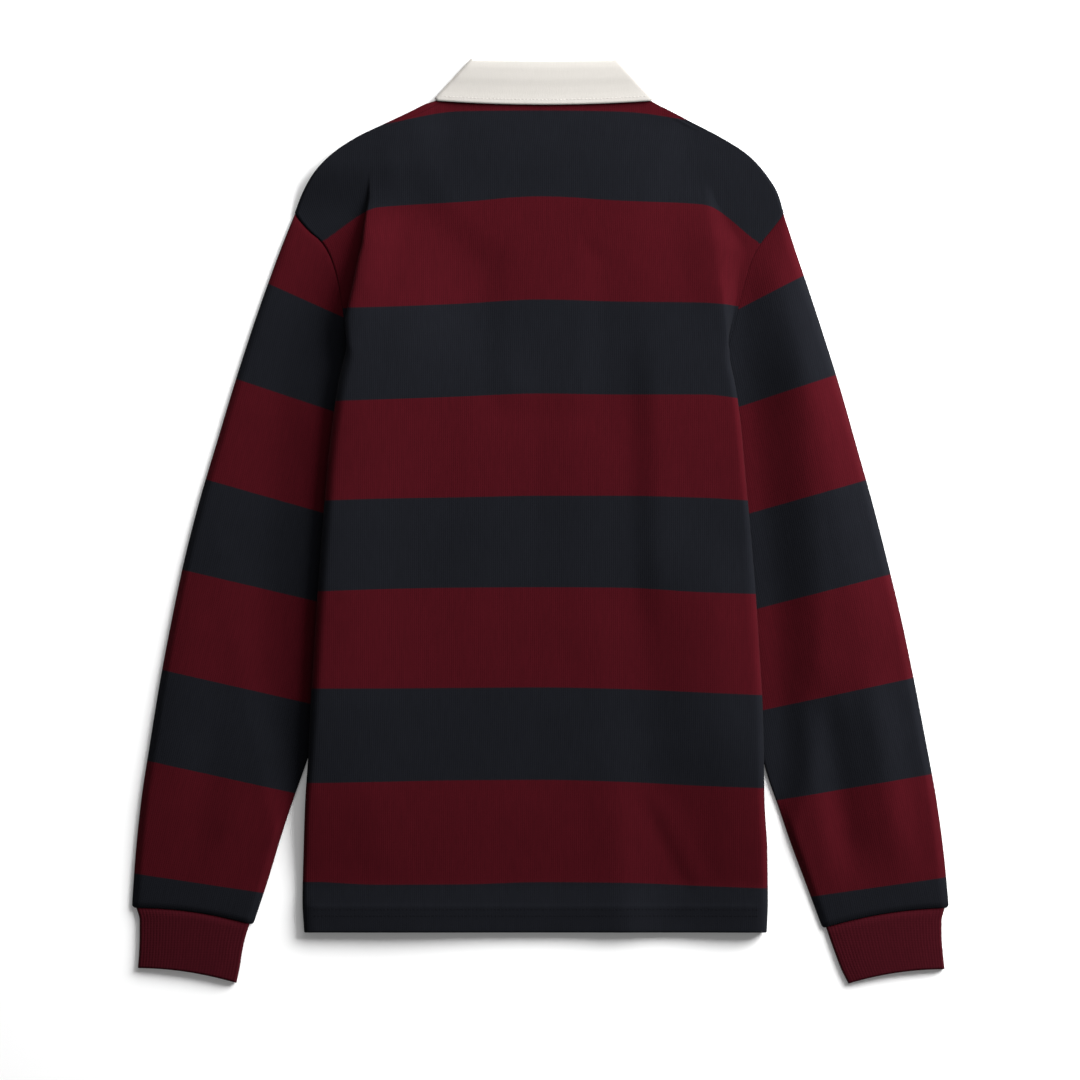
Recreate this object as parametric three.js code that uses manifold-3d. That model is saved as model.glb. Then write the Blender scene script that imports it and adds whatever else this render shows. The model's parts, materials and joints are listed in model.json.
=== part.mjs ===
// Long-sleeved rugby shirt with a twill collar, laid flat on its front with its back upwards.
// Millimetres, +Z up, collar towards +Y.
// The origin is the middle of the footprint, on the surface it lies on.
// Both sides of the body are turned under, and they lie on the sleeves down to the forearms.
import * as THREE from 'three';
import { mergeVertices } from 'three/addons/utils/BufferGeometryUtils.js';
import Module from 'manifold-3d';

const wasm = await Module();
wasm.setup();

// Cloth and layers
const JERSEY = 1.4;
const TWILL = 1.6;
const RIB = 2.0;
const SEAM_GAP = 0.3;
const PITCH = 1.9; // from one layer of cloth to the next
const ROLL_STEPS = 5; // facets round a folded edge
const EDGE_STEPS = 3; // facets round the edge of a sleeve or cuff
const TAIL_STEPS = 3; // facets across the cloth beyond a fold

// Colours and surface
const NAVY = 0x1c1e24;
const BURGUNDY = 0x4d111c;
const OFF_WHITE = 0xe6e2de;
const KNIT_ROUGHNESS = 0.92;
const TWILL_ROUGHNESS = 0.85;

// Sections across the body, from the neck to the hem. Fold: the side edge that shows.
// End: where the cloth ends, at the shoulder line or armhole while turn is 0, and
// under the body at the armhole or side seam once the side is turned under (turn 1).
const BODY_SECTIONS = [
  { y: 377.5, leftFold: -67, rightFold: 73.5, leftEnd: -76.5, rightEnd: 83.5, turn: 0 },
  { y: 365.5, leftFold: -75.5, rightFold: 82, leftEnd: -87.5, rightEnd: 94, turn: 0 },
  { y: 361.5, leftFold: -86, rightFold: 88, leftEnd: -99, rightEnd: 100.5, turn: 0 },
  { y: 355.5, leftFold: -97, rightFold: 99.5, leftEnd: -111, rightEnd: 112.5, turn: 0 },
  { y: 345, leftFold: -120, rightFold: 120.5, leftEnd: -133, rightEnd: 132.5, turn: 0 },
  { y: 332, leftFold: -142.5, rightFold: 141, leftEnd: -160, rightEnd: 157.5, turn: 0 },
  { y: 317, leftFold: -147.5, rightFold: 143, leftEnd: -182, rightEnd: 180.5, turn: 0 },
  { y: 301.5, leftFold: -147.5, rightFold: 143, leftEnd: -196.5, rightEnd: 195, turn: 0 },
  { y: 284, leftFold: -147.5, rightFold: 143, leftEnd: -206.5, rightEnd: 206, turn: 0 },
  { y: 266, leftFold: -149.5, rightFold: 145, leftEnd: -213.5, rightEnd: 211.5, turn: 0 },
  { y: 252.5, leftFold: -150.5, rightFold: 147, leftEnd: -202, rightEnd: 201, turn: 0 },
  { y: 241.5, leftFold: -151, rightFold: 149.5, leftEnd: -189.5, rightEnd: 192, turn: 0 },
  { y: 227.5, leftFold: -154, rightFold: 151.5, leftEnd: -181.5, rightEnd: 184, turn: 0 },
  { y: 205, leftFold: -158, rightFold: 155, leftEnd: -175, rightEnd: 177, turn: 0 },
  { y: 179, leftFold: -163.5, rightFold: 159, leftEnd: -171, rightEnd: 170.5, turn: 0 },
  { y: 152.5, leftFold: -167.5, rightFold: 163, leftEnd: -167.5, rightEnd: 163, turn: 0.5 },
  { y: 139.5, leftFold: -170.5, rightFold: 164.5, leftEnd: -158.5, rightEnd: 153, turn: 1 },
  { y: 118, leftFold: -175.5, rightFold: 169, leftEnd: -143.5, rightEnd: 139, turn: 1 },
  { y: 83, leftFold: -180.5, rightFold: 174, leftEnd: -119.5, rightEnd: 115, turn: 1 },
  { y: 44, leftFold: -185, rightFold: 177.5, leftEnd: -92, rightEnd: 88, turn: 1 },
  { y: 0.5, leftFold: -188.5, rightFold: 181.5, leftEnd: -97.5, rightEnd: 93.5, turn: 1 },
  { y: -52, leftFold: -192.5, rightFold: 186, leftEnd: -105, rightEnd: 100, turn: 1 },
  { y: -112.5, leftFold: -196.5, rightFold: 190, leftEnd: -113.5, rightEnd: 107, turn: 1 },
  { y: -165, leftFold: -199.5, rightFold: 193, leftEnd: -120.5, rightEnd: 113.5, turn: 1 },
  { y: -206, leftFold: -201.5, rightFold: 194, leftEnd: -126, rightEnd: 118.5, turn: 1 },
  { y: -243, leftFold: -204, rightFold: 194.5, leftEnd: -131, rightEnd: 123, turn: 1 },
  { y: -286.5, leftFold: -205.5, rightFold: 197, leftEnd: -137, rightEnd: 128, turn: 1 },
  { y: -330, leftFold: -206.5, rightFold: 197.5, leftEnd: -143.5, rightEnd: 134, turn: 1 },
  { y: -357.5, leftFold: -205, rightFold: 196.5, leftEnd: -147, rightEnd: 137, turn: 1 },
];
const ARMHOLE_TOP = 266; // y where the sleeve seam leaves the outline
const ARMPIT = 44; // y of the armpit, hidden under the body
// Places of the lengthwise grid lines, as shares of the way from the centre line to each fold
const ACROSS = [0.1, 0.19, 0.32, 0.46, 0.58, 0.7, 0.83, 0.93, 1];

// Sections across the sleeves, from the armhole to the cuff seam.
const LEFT_SLEEVE = [
  { outerX: -214, outerY: 262.5, innerX: -92, innerY: 44 },
  { outerX: -225, outerY: 235.5, innerX: -104, innerY: 18 },
  { outerX: -238, outerY: 200.5, innerX: -118.5, innerY: -12.5 },
  { outerX: -251.5, outerY: 161.5, innerX: -133, innerY: -43 },
  { outerX: -265.5, outerY: 118, innerX: -146.5, innerY: -73.5 },
  { outerX: -280, outerY: 70, innerX: -159.5, innerY: -104 },
  { outerX: -295.5, outerY: 18, innerX: -172.5, innerY: -134.5 },
  { outerX: -309, outerY: -34.5, innerX: -185, innerY: -165 },
  { outerX: -320, outerY: -86.5, innerX: -196.5, innerY: -192.5 },
  { outerX: -330, outerY: -139, innerX: -207, innerY: -221.5 },
  { outerX: -338.5, outerY: -191, innerX: -217, innerY: -250 },
  { outerX: -346.5, outerY: -243, innerX: -226.5, innerY: -279.5 },
  { outerX: -351.5, outerY: -291, innerX: -236.5, innerY: -313 },
  { outerX: -354.5, outerY: -334, innerX: -248.5, innerY: -349 },
];
const RIGHT_SLEEVE = [
  { outerX: 213, outerY: 264.5, innerX: 88, innerY: 44 },
  { outerX: 222, outerY: 235.5, innerX: 99.5, innerY: 18 },
  { outerX: 233.5, outerY: 200.5, innerX: 112.5, innerY: -12.5 },
  { outerX: 246, outerY: 161.5, innerX: 125.5, innerY: -43 },
  { outerX: 259.5, outerY: 118, innerX: 138.5, innerY: -73.5 },
  { outerX: 273, outerY: 70, innerX: 151, innerY: -104 },
  { outerX: 287.5, outerY: 18, innerX: 164, innerY: -134.5 },
  { outerX: 301, outerY: -34.5, innerX: 177.5, innerY: -165 },
  { outerX: 313.5, outerY: -86.5, innerX: 189, innerY: -192.5 },
  { outerX: 324.5, outerY: -139, innerX: 197, innerY: -221.5 },
  { outerX: 334.5, outerY: -191, innerX: 207, innerY: -250 },
  { outerX: 344, outerY: -243, innerX: 217, innerY: -279.5 },
  { outerX: 350.5, outerY: -291, innerX: 229.5, innerY: -313 },
  { outerX: 354.5, outerY: -334, innerX: 244, innerY: -352 },
];
const SLEEVE_BOW = 4; // how far the cuff seam bows towards the shoulder
const BOW_SECTIONS = 4; // sections over which that bow builds up
const ARMHOLE_SECTIONS = 7; // sections over which the armhole's curve fades out
const SLEEVE_FULLNESS = 2.5; // rise of the free forearm over its flat height
const FREE_FROM = 9; // section from which the sleeve lies clear of the body
const FREE_SECTIONS = 2; // sections over which that rise builds up
const LAST_FULLNESS = 0.4; // share of it that is left at the cuff seam

// Sections along the rib cuffs, from just below the cuff seam to the open end.
const CUFF_INSET = 3.2; // how far the cuff stands in from the sleeve's edges at the seam
const CUFF_FULLNESS = 0.5; // rise of the cuff's top over its flat height
const CUFF_SHARES = [0, 0.12, 0.3, 0.5, 0.7, 0.88, 1]; // places of its lengthwise grid lines
const LEFT_CUFF = [
  { outerX: -348, outerY: -347.5, innerX: -256, innerY: -363 },
  { outerX: -348, outerY: -360.5, innerX: -258.5, innerY: -374.5 },
  { outerX: -348.5, outerY: -375.5, innerX: -260.5, innerY: -387.5 },
  { outerX: -349.5, outerY: -388.5, innerX: -263.5, innerY: -401.5 },
];
const RIGHT_CUFF = [
  { outerX: 348.5, outerY: -348.5, innerX: 252, innerY: -366 },
  { outerX: 348.5, outerY: -360.5, innerX: 256, innerY: -377 },
  { outerX: 349.5, outerY: -374.5, innerX: 261, innerY: -390 },
  { outerX: 351, outerY: -389.5, innerX: 267, innerY: -402 },
];

// Collar, measured from its own centre line
const COLLAR_X = 3.3; // the neck sits this far right of the middle of the footprint
const SIDE_ROLL = { x: 63, y: 401.8 }; // upper corner of the folded collar
const SIDE_EDGE = { x: 95.5, y: 366.5 }; // lower corner, at the high shoulder point
const SIDE_SEAM = 0.66; // share of the way down the side at which the stand meets the neck seam
const BACK_ROLL_Y = 399; // fold line at the centre back
const BACK_EDGE_Y = 361.5; // lower edge of the fall at the centre back
const BACK_SEAM_Y = 371.5; // neck seam at the centre back
const FRONT_FALL = [
  { rollX: 1, rollY: 321.5, edgeX: 44, edgeY: 259.5 },
  { rollX: 11.5, rollY: 325, edgeX: 57, edgeY: 272 },
  { rollX: 27.5, rollY: 335.5, edgeX: 71, edgeY: 287.5 },
  { rollX: 40.5, rollY: 353, edgeX: 82, edgeY: 309.5 },
  { rollX: 50, rollY: 373, edgeX: 90, edgeY: 335.5 },
];
const FRONT_STAND = [
  { rollX: 1, rollY: 321, edgeX: 1, edgeY: 298 },
  { rollX: 11.5, rollY: 324.5, edgeX: 20.5, edgeY: 302.5 },
  { rollX: 27.5, rollY: 335, edgeX: 40.5, edgeY: 316 },
  { rollX: 40.5, rollY: 352.5, edgeX: 57, edgeY: 338 },
  { rollX: 49, rollY: 372, edgeX: 70, edgeY: 361.5 },
];
const STAND_BELOW = 1; // how far the stand's fold line lies below the fall's
const STAND_DROP = 0.02; // the same at the sides, as a share of the side's length
const BACK_STEPS = 12;
const RING_STEPS = 6; // facets round the side of the flattened ring
const FALL_ROWS = 4;
const STAND_ROWS = 3;
const NECK_HOLE = { top: 450, bottom: -10, height: 40, beyond: 6 }; // room round the neck seam

// Placket
const PLACKET = { width: 30, top: 296.5, bottom: 126.5, corner: 2 };

// How the cloth climbs over what lies under it
const CLIMB = { margin: 20, panel: 34, flap: 24, collar: 30 };
const COLLAR_MARGIN = 11;
// Extra rise of the back along its folds, which shows as a step from the shoulder blade down
const STEP_RISE = [
  { y: 290, rise: 0 },
  { y: 266, rise: 0.8 },
  { y: 241.5, rise: 1.8 },
  { y: 205, rise: 2.2 },
  { y: 152.5, rise: 0 },
];
const STEP_REACH = 35;
const STEP_WIDTH = { least: 1, share: 0.8 }; // of the step down beside an open fold
const HALF_TURN_DROP = 2; // how far a side that is half turned hangs down
// Largest soft folds of the back: a ridge from one point to the other
const BACK_FOLDS = [
  { x1: 104, y1: -236, x2: 134, y2: -318, height: 2.2, width: 22 },
  { x1: 98, y1: 95, x2: 104, y2: -70, height: 1.2, width: 26 },
  { x1: -150, y1: -226, x2: -128, y2: -310, height: 1.4, width: 24 },
];

function smooth(share) {
  const t = Math.min(1, Math.max(0, share));
  return t * t * (3 - 2 * t);
}

function mix(a, b, share) {
  return a + (b - a) * share;
}

// 1 within the margin, falling smoothly to 0 over the width beyond it
function ramp(distance, width, margin = CLIMB.margin) {
  return 1 - smooth((distance - margin) / width);
}

function segmentDistance(a, b, x, y) {
  const dx = b[0] - a[0];
  const dy = b[1] - a[1];
  const along = ((x - a[0]) * dx + (y - a[1]) * dy) / (dx * dx + dy * dy || 1);
  const t = Math.min(1, Math.max(0, along));
  return Math.hypot(x - a[0] - dx * t, y - a[1] - dy * t);
}

// Distance outside a closed outline, 0 inside it
function outlineDistance(outline, x, y) {
  let inside = false;
  let nearest = Infinity;
  outline.forEach((a, i) => {
    const b = outline[(i + 1) % outline.length];
    nearest = Math.min(nearest, segmentDistance(a, b, x, y));
    const crosses = (a[1] > y) !== (b[1] > y);
    if (crosses && x < a[0] + ((y - a[1]) * (b[0] - a[0])) / (b[1] - a[1])) inside = !inside;
  });
  return inside ? 0 : nearest;
}

function nearestOf(outlines, x, y) {
  return Math.min(...outlines.map((outline) => outlineDistance(outline, x, y)));
}

// Footprints that the panels climb over
function sleeveOutline(sections) {
  const outer = sections.map((s) => [s.outerX, s.outerY]);
  const inner = sections.map((s) => [s.innerX, s.innerY]);
  return [...outer, ...inner.reverse()];
}

function flapOutline(side) {
  const turned = BODY_SECTIONS.filter((s) => s.turn > 0);
  const folds = turned.map((s) => [side < 0 ? s.leftFold : s.rightFold, s.y]);
  const ends = turned.map((s) => [side < 0 ? s.leftEnd : s.rightEnd, s.y]);
  return [...folds, ...ends.reverse()];
}

function leafOutline(side) {
  const roll = FRONT_FALL.map((s) => [COLLAR_X + side * s.rollX, s.rollY]);
  const edge = FRONT_FALL.map((s) => [COLLAR_X + side * s.edgeX, s.edgeY]);
  const corners = [SIDE_ROLL, SIDE_EDGE].map((p) => [COLLAR_X + side * p.x, p.y]);
  return [...roll, ...corners, ...edge.reverse()];
}

const PLACKET_OUTLINE = [
  [COLLAR_X - PLACKET.width / 2, PLACKET.top],
  [COLLAR_X + PLACKET.width / 2, PLACKET.top],
  [COLLAR_X + PLACKET.width / 2, PLACKET.bottom],
  [COLLAR_X - PLACKET.width / 2, PLACKET.bottom],
];
const SLEEVE_OUTLINES = [sleeveOutline(LEFT_SLEEVE), sleeveOutline(RIGHT_SLEEVE)];
const FLAP_OUTLINES = [flapOutline(-1), flapOutline(1)];
const UNDER_FRONT = [leafOutline(-1), leafOutline(1), PLACKET_OUTLINE];
const NECK_OUTLINE = [
  [COLLAR_X - SIDE_ROLL.x, SIDE_ROLL.y],
  [COLLAR_X + SIDE_ROLL.x, SIDE_ROLL.y],
  [COLLAR_X + FRONT_STAND[3].edgeX, FRONT_STAND[3].edgeY],
  [COLLAR_X, FRONT_STAND[0].edgeY],
  [COLLAR_X - FRONT_STAND[3].edgeX, FRONT_STAND[3].edgeY],
];

// Undersides of the layers, as heights over the floor
function sleeveLift(x, y, width) {
  return 2 * PITCH * ramp(nearestOf(SLEEVE_OUTLINES, x, y), width);
}

function flapLift(x, y) {
  return 2 * PITCH * ramp(nearestOf(FLAP_OUTLINES, x, y), CLIMB.panel);
}

function stepRise(y) {
  const below = STEP_RISE.findIndex((s) => s.y <= y);
  if (below === 0) return STEP_RISE[0].rise;
  if (below < 0) return 0;
  const a = STEP_RISE[below - 1];
  const b = STEP_RISE[below];
  return mix(a.rise, b.rise, (a.y - y) / (a.y - b.y));
}

function foldRise(x, y) {
  return BACK_FOLDS.reduce((sum, f) => {
    const distance = segmentDistance([f.x1, f.y1], [f.x2, f.y2], x, y);
    return sum + f.height * (1 - smooth(distance / f.width));
  }, 0);
}

const FRONT = {
  inset: 2.5,
  tail: (x, y) => PITCH * ramp(nearestOf(UNDER_FRONT, x, y), CLIMB.collar, COLLAR_MARGIN),
  main: (x, y) => FRONT.tail(x, y) + sleeveLift(x, y, CLIMB.panel) + flapLift(x, y),
  flap: (x, y) => PITCH + sleeveLift(x, y, CLIMB.flap),
};
const BACK = {
  inset: 0,
  tail: (x, y) => {
    const under = nearestOf([...UNDER_FRONT, NECK_OUTLINE], x, y);
    return PITCH + PITCH * ramp(under, CLIMB.collar, COLLAR_MARGIN);
  },
  main: (x, y, foldDistance) => {
    const step = stepRise(y) * (1 - smooth(foldDistance / STEP_REACH));
    const climb = sleeveLift(x, y, CLIMB.panel) + flapLift(x, y);
    return BACK.tail(x, y) + climb + step + foldRise(x, y);
  },
  flap: (x, y) => sleeveLift(x, y, CLIMB.flap),
};

// A closed wall of even thickness round a grid of points and normals.
// With a tube, each row of the grid closes on itself.
function wall(rows, thickness, tube = false) {
  const count = rows[0].length;
  const positions = [];
  const sheet = (offset) => {
    rows.forEach((row) => row.forEach(({ p, n }) => {
      const q = p.clone().addScaledVector(n, offset);
      positions.push(q.x, q.y, q.z);
    }));
  };
  sheet(thickness / 2);
  sheet(-thickness / 2);
  const inner = rows.length * count;
  const faces = [];
  const quad = (a, b, c, d) => faces.push(a, b, c, a, c, d);
  const last = tube ? count : count - 1;
  for (let i = 0; i < rows.length - 1; i += 1) {
    for (let j = 0; j < last; j += 1) {
      const k = (j + 1) % count;
      const [a, b, c, d] = [i * count + j, i * count + k, (i + 1) * count + k, (i + 1) * count + j];
      quad(a, d, c, b);
      quad(inner + a, inner + b, inner + c, inner + d);
    }
  }
  const end = (rows.length - 1) * count;
  for (let j = 0; j < last; j += 1) {
    const k = (j + 1) % count;
    quad(j, k, inner + k, inner + j);
    quad(end + k, end + j, inner + end + j, inner + end + k);
  }
  if (!tube) {
    for (let i = 0; i < rows.length - 1; i += 1) {
      const [a, b] = [i * count, (i + 1) * count];
      const [c, d] = [a + count - 1, b + count - 1];
      quad(b, a, inner + a, inner + b);
      quad(c, d, inner + d, inner + c);
    }
  }
  const geometry = new THREE.BufferGeometry();
  geometry.setAttribute('position', new THREE.Float32BufferAttribute(positions, 3));
  geometry.setIndex(faces);
  return facingOut(geometry);
}

// Turns the faces round where the wall came out with its inside outwards.
function facingOut(geometry) {
  const index = geometry.getIndex();
  const at = geometry.getAttribute('position');
  const corner = (i) => new THREE.Vector3().fromBufferAttribute(at, index.getX(i));
  let volume = 0;
  for (let i = 0; i < index.count; i += 3) {
    volume += corner(i).dot(corner(i + 1).cross(corner(i + 2)));
  }
  if (volume < 0) {
    for (let i = 0; i < index.count; i += 3) {
      const second = index.getX(i + 1);
      index.setX(i + 1, index.getX(i + 2));
      index.setX(i + 2, second);
    }
  }
  return geometry;
}

function solidOf(geometry) {
  const bare = geometry.clone();
  bare.deleteAttribute('normal');
  bare.deleteAttribute('uv');
  const merged = mergeVertices(bare);
  const vertProperties = new Float32Array(merged.getAttribute('position').array);
  const triVerts = new Uint32Array(merged.getIndex().array);
  return new wasm.Manifold(new wasm.Mesh({ numProp: 3, vertProperties, triVerts }));
}

function geometryOf(solid) {
  const mesh = solid.getMesh();
  const geometry = new THREE.BufferGeometry();
  geometry.setAttribute('position', new THREE.Float32BufferAttribute(mesh.vertProperties, 3));
  geometry.setIndex([...mesh.triVerts]);
  return geometry;
}

function named(name, geometry, color, roughness) {
  geometry.computeVertexNormals();
  const material = new THREE.MeshStandardMaterial({ color, roughness, metalness: 0 });
  const mesh = new THREE.Mesh(geometry, material);
  mesh.name = name;
  return mesh;
}

const UP = new THREE.Vector3(0, 0, 1);
const DOWN = new THREE.Vector3(0, 0, -1);

// The cloth from the fold outwards while the side still lies open: a soft step down, then flat.
function openSide(section, side, panel) {
  const fold = (side < 0 ? section.leftFold : section.rightFold) - side * panel.inset;
  const end = side < 0 ? section.leftEnd : section.rightEnd;
  const top = panel.main(fold, section.y, 0);
  const drop = top - panel.tail(fold, section.y);
  const width = Math.min(STEP_WIDTH.least + drop, STEP_WIDTH.share * Math.abs(end - fold));
  const points = [];
  for (let i = 1; i <= ROLL_STEPS; i += 1) {
    const t = i / ROLL_STEPS;
    const p = new THREE.Vector3(fold + side * width * t, section.y, top - drop * smooth(t) + JERSEY / 2);
    const slope = (drop * 6 * t * (1 - t)) / width;
    points.push({ p, n: new THREE.Vector3(side * slope, 0, 1).normalize() });
  }
  for (let i = 1; i <= TAIL_STEPS; i += 1) {
    const x = mix(fold + side * width, end, i / TAIL_STEPS);
    points.push({ p: new THREE.Vector3(x, section.y, panel.tail(x, section.y) + JERSEY / 2), n: UP });
  }
  return { inner: fold, points };
}

// The cloth from the fold once the side is turned under: a half round, then the flap.
function turnedSide(section, side, panel) {
  const fold = side < 0 ? section.leftFold : section.rightFold;
  const end = side < 0 ? section.leftEnd : section.rightEnd;
  const backHeights = [BACK.main(fold, section.y, 0), BACK.flap(fold, section.y)];
  const backRadius = (backHeights[0] - backHeights[1]) / 2;
  const centre = fold - side * (backRadius + JERSEY / 2);
  const top = panel.main(fold, section.y, 0) + JERSEY / 2;
  const bottom = panel.flap(fold, section.y) + JERSEY / 2;
  const radius = (top - bottom) / 2;
  const points = [];
  for (let i = 1; i <= ROLL_STEPS; i += 1) {
    const angle = Math.PI / 2 - (Math.PI * section.turn * i) / ROLL_STEPS;
    const n = new THREE.Vector3(side * Math.cos(angle), 0, Math.sin(angle));
    const p = new THREE.Vector3(centre, section.y, (top + bottom) / 2).addScaledVector(n, radius);
    points.push({ p, n });
  }
  const from = points[points.length - 1].p;
  for (let i = 1; i <= TAIL_STEPS; i += 1) {
    const t = i / TAIL_STEPS;
    if (section.turn < 1) {
      const p = new THREE.Vector3(from.x, section.y, from.z - HALF_TURN_DROP * t);
      points.push({ p, n: new THREE.Vector3(side, 0, 0) });
    } else {
      const x = mix(centre, end, t);
      points.push({ p: new THREE.Vector3(x, section.y, panel.flap(x, section.y) + JERSEY / 2), n: DOWN });
    }
  }
  return { inner: centre, points };
}

function bodySection(section, panel) {
  const sideOf = section.turn > 0 ? turnedSide : openSide;
  const left = sideOf(section, -1, panel);
  const right = sideOf(section, 1, panel);
  const middle = (left.inner + right.inner) / 2;
  const xs = [
    ...[...ACROSS].reverse().map((share) => mix(middle, left.inner, share)),
    middle,
    ...ACROSS.map((share) => mix(middle, right.inner, share)),
  ];
  const across = xs.map((x) => {
    const foldDistance = Math.min(Math.abs(x - section.leftFold), Math.abs(x - section.rightFold));
    const z = panel.main(x, section.y, foldDistance) + JERSEY / 2;
    return { p: new THREE.Vector3(x, section.y, z), n: UP };
  });
  return [...left.points.reverse(), ...across, ...right.points];
}

// The neck hole: the outline of the neck seam, cut down through a panel.
function neckCutter(seam) {
  const left = seam.map(([x, y]) => new THREE.Vector2(COLLAR_X - x, y));
  const right = [...seam].reverse().map(([x, y]) => new THREE.Vector2(COLLAR_X + x, y));
  const shape = new THREE.Shape([
    ...left,
    ...right,
    new THREE.Vector2(COLLAR_X + seam[0][0], NECK_HOLE.top),
    new THREE.Vector2(COLLAR_X - seam[0][0], NECK_HOLE.top),
  ]);
  const geometry = new THREE.ExtrudeGeometry(shape, { depth: NECK_HOLE.height, bevelEnabled: false });
  geometry.translate(0, 0, NECK_HOLE.bottom);
  return solidOf(geometry);
}

function sidePoint(share) {
  return {
    x: mix(SIDE_ROLL.x, SIDE_EDGE.x, share),
    y: mix(SIDE_ROLL.y, SIDE_EDGE.y, share),
  };
}

// Where the flattened ring's half round begins, at a share of the way down its side
const RING_RADIUS = (3 * PITCH) / 2;
const SLANT = new THREE.Vector3(SIDE_EDGE.x - SIDE_ROLL.x, SIDE_EDGE.y - SIDE_ROLL.y, 0).normalize();
const OUTWARD = new THREE.Vector3(-SLANT.y, SLANT.x, 0);

function ringCorner(share) {
  const { x, y } = sidePoint(share);
  return new THREE.Vector3(x, y, 0).addScaledVector(OUTWARD, -(RING_RADIUS + TWILL / 2));
}

// The neck seam of each panel, from beyond the side to the centre, just outside the stand.
const SEAM_CORNER = ringCorner(SIDE_SEAM);
const SEAM_BEYOND = SEAM_CORNER.clone().addScaledVector(OUTWARD, NECK_HOLE.beyond);
const SEAM_START = [SEAM_BEYOND, SEAM_CORNER].map((p) => [p.x + SEAM_GAP, p.y - SEAM_GAP]);
const BACK_SEAM = [
  ...SEAM_START,
  ...Array.from({ length: BACK_STEPS / 2 }, (_, k) => {
    const t = 1 - (2 * (k + 1)) / BACK_STEPS;
    return [SEAM_CORNER.x * t, mix(BACK_SEAM_Y, SEAM_CORNER.y, t * t) - SEAM_GAP];
  }),
];
const FRONT_SEAM = [
  ...SEAM_START,
  ...[...FRONT_STAND].reverse().map((s) => [s.edgeX + SEAM_GAP, s.edgeY - SEAM_GAP]),
];

function panel(heights, seam) {
  const sheet = wall(BODY_SECTIONS.map((section) => bodySection(section, heights)), JERSEY);
  return geometryOf(solidOf(sheet).subtract(neckCutter(seam)));
}

// The armhole from the outline to the armpit, moved outwards by the seam gap
function armhole(side) {
  const points = BODY_SECTIONS.filter((s) => s.y <= ARMHOLE_TOP && s.y >= ARMPIT);
  return points.map((s) => {
    const x = side < 0 ? s.leftEnd : s.rightEnd;
    return new THREE.Vector3(x + side * SEAM_GAP, s.y - SEAM_GAP, 0);
  });
}

function stepLengths(points) {
  return points.slice(1).map((p, i) => p.distanceTo(points[i]));
}

// The shares of the whole length at which a line of points turns
function turningShares(points) {
  const lengths = stepLengths(points);
  const whole = lengths.reduce((a, b) => a + b, 0);
  let run = 0;
  return [0, ...lengths.map((length) => {
    run += length;
    return run / whole;
  })];
}

function alongLine(points, share) {
  const lengths = stepLengths(points);
  let rest = share * lengths.reduce((a, b) => a + b, 0);
  for (let i = 0; i < lengths.length; i += 1) {
    if (rest <= lengths[i] || i === lengths.length - 1) {
      return points[i].clone().lerp(points[i + 1], Math.min(1, rest / lengths[i]));
    }
    rest -= lengths[i];
  }
  return points[points.length - 1].clone();
}

// A flattened tube: straight across the top and the bottom, with a half round at each edge.
// shape.at gives the plan point at a share of the way from the outer to the inner edge.
function flatTube(sections, thickness, gap, shape) {
  const radius = (thickness + gap) / 2;
  const acrossSteps = shape.shares.length - 1;
  const rows = sections.map((section, i) => {
    const outer = shape.at(i, 0);
    const inner = shape.at(i, 1);
    const width = outer.distanceTo(inner);
    const trim = (radius + thickness / 2) / width;
    const rise = (share) => shape.rise(i) * Math.sin(Math.PI * share);
    const centreZ = radius + thickness / 2;
    const row = [];
    const shares = shape.shares.map((share) => Math.min(1 - trim, Math.max(trim, share)));
    shares.forEach((share) => {
      const p = shape.at(i, share);
      p.z = centreZ + radius + rise(share);
      row.push({ p, n: UP });
    });
    const edge = (share, away) => {
      for (let j = 1; j < EDGE_STEPS; j += 1) {
        const angle = Math.PI / 2 - (Math.PI * j) / EDGE_STEPS;
        const lift = share > 0.5 ? angle : -angle;
        const n = away.clone().multiplyScalar(Math.cos(lift));
        n.z = Math.sin(lift);
        const p = shape.at(i, share);
        p.z = centreZ;
        row.push({ p: p.addScaledVector(n, radius), n });
      }
    };
    edge(1 - trim, inner.clone().sub(outer).normalize());
    for (let j = acrossSteps; j >= 0; j -= 1) {
      const p = shape.at(i, shares[j]);
      p.z = centreZ - radius;
      row.push({ p, n: DOWN });
    }
    edge(trim, outer.clone().sub(inner).normalize());
    return row;
  });
  return wall(rows, thickness, true);
}

function planPoint(section, share) {
  return new THREE.Vector3(
    mix(section.outerX, section.innerX, share),
    mix(section.outerY, section.innerY, share),
    0,
  );
}

function sleeve(sections, side) {
  const seam = armhole(side);
  const last = sections.length - 1;
  const at = (i, share) => {
    const p = planPoint(sections[i], share);
    const first = planPoint(sections[0], share);
    const fade = Math.max(0, 1 - i / ARMHOLE_SECTIONS) ** 2;
    p.addScaledVector(alongLine(seam, share).sub(first), fade);
    p.y += SLEEVE_BOW * smooth((i - last) / BOW_SECTIONS + 1) * 4 * share * (1 - share);
    return p;
  };
  const kept = (i) => (i === last ? LAST_FULLNESS : 1);
  const rise = (i) => SLEEVE_FULLNESS * smooth((i - FREE_FROM) / FREE_SECTIONS) * kept(i);
  return flatTube(sections, JERSEY, PITCH - JERSEY, { at, rise, shares: turningShares(seam) });
}

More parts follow.
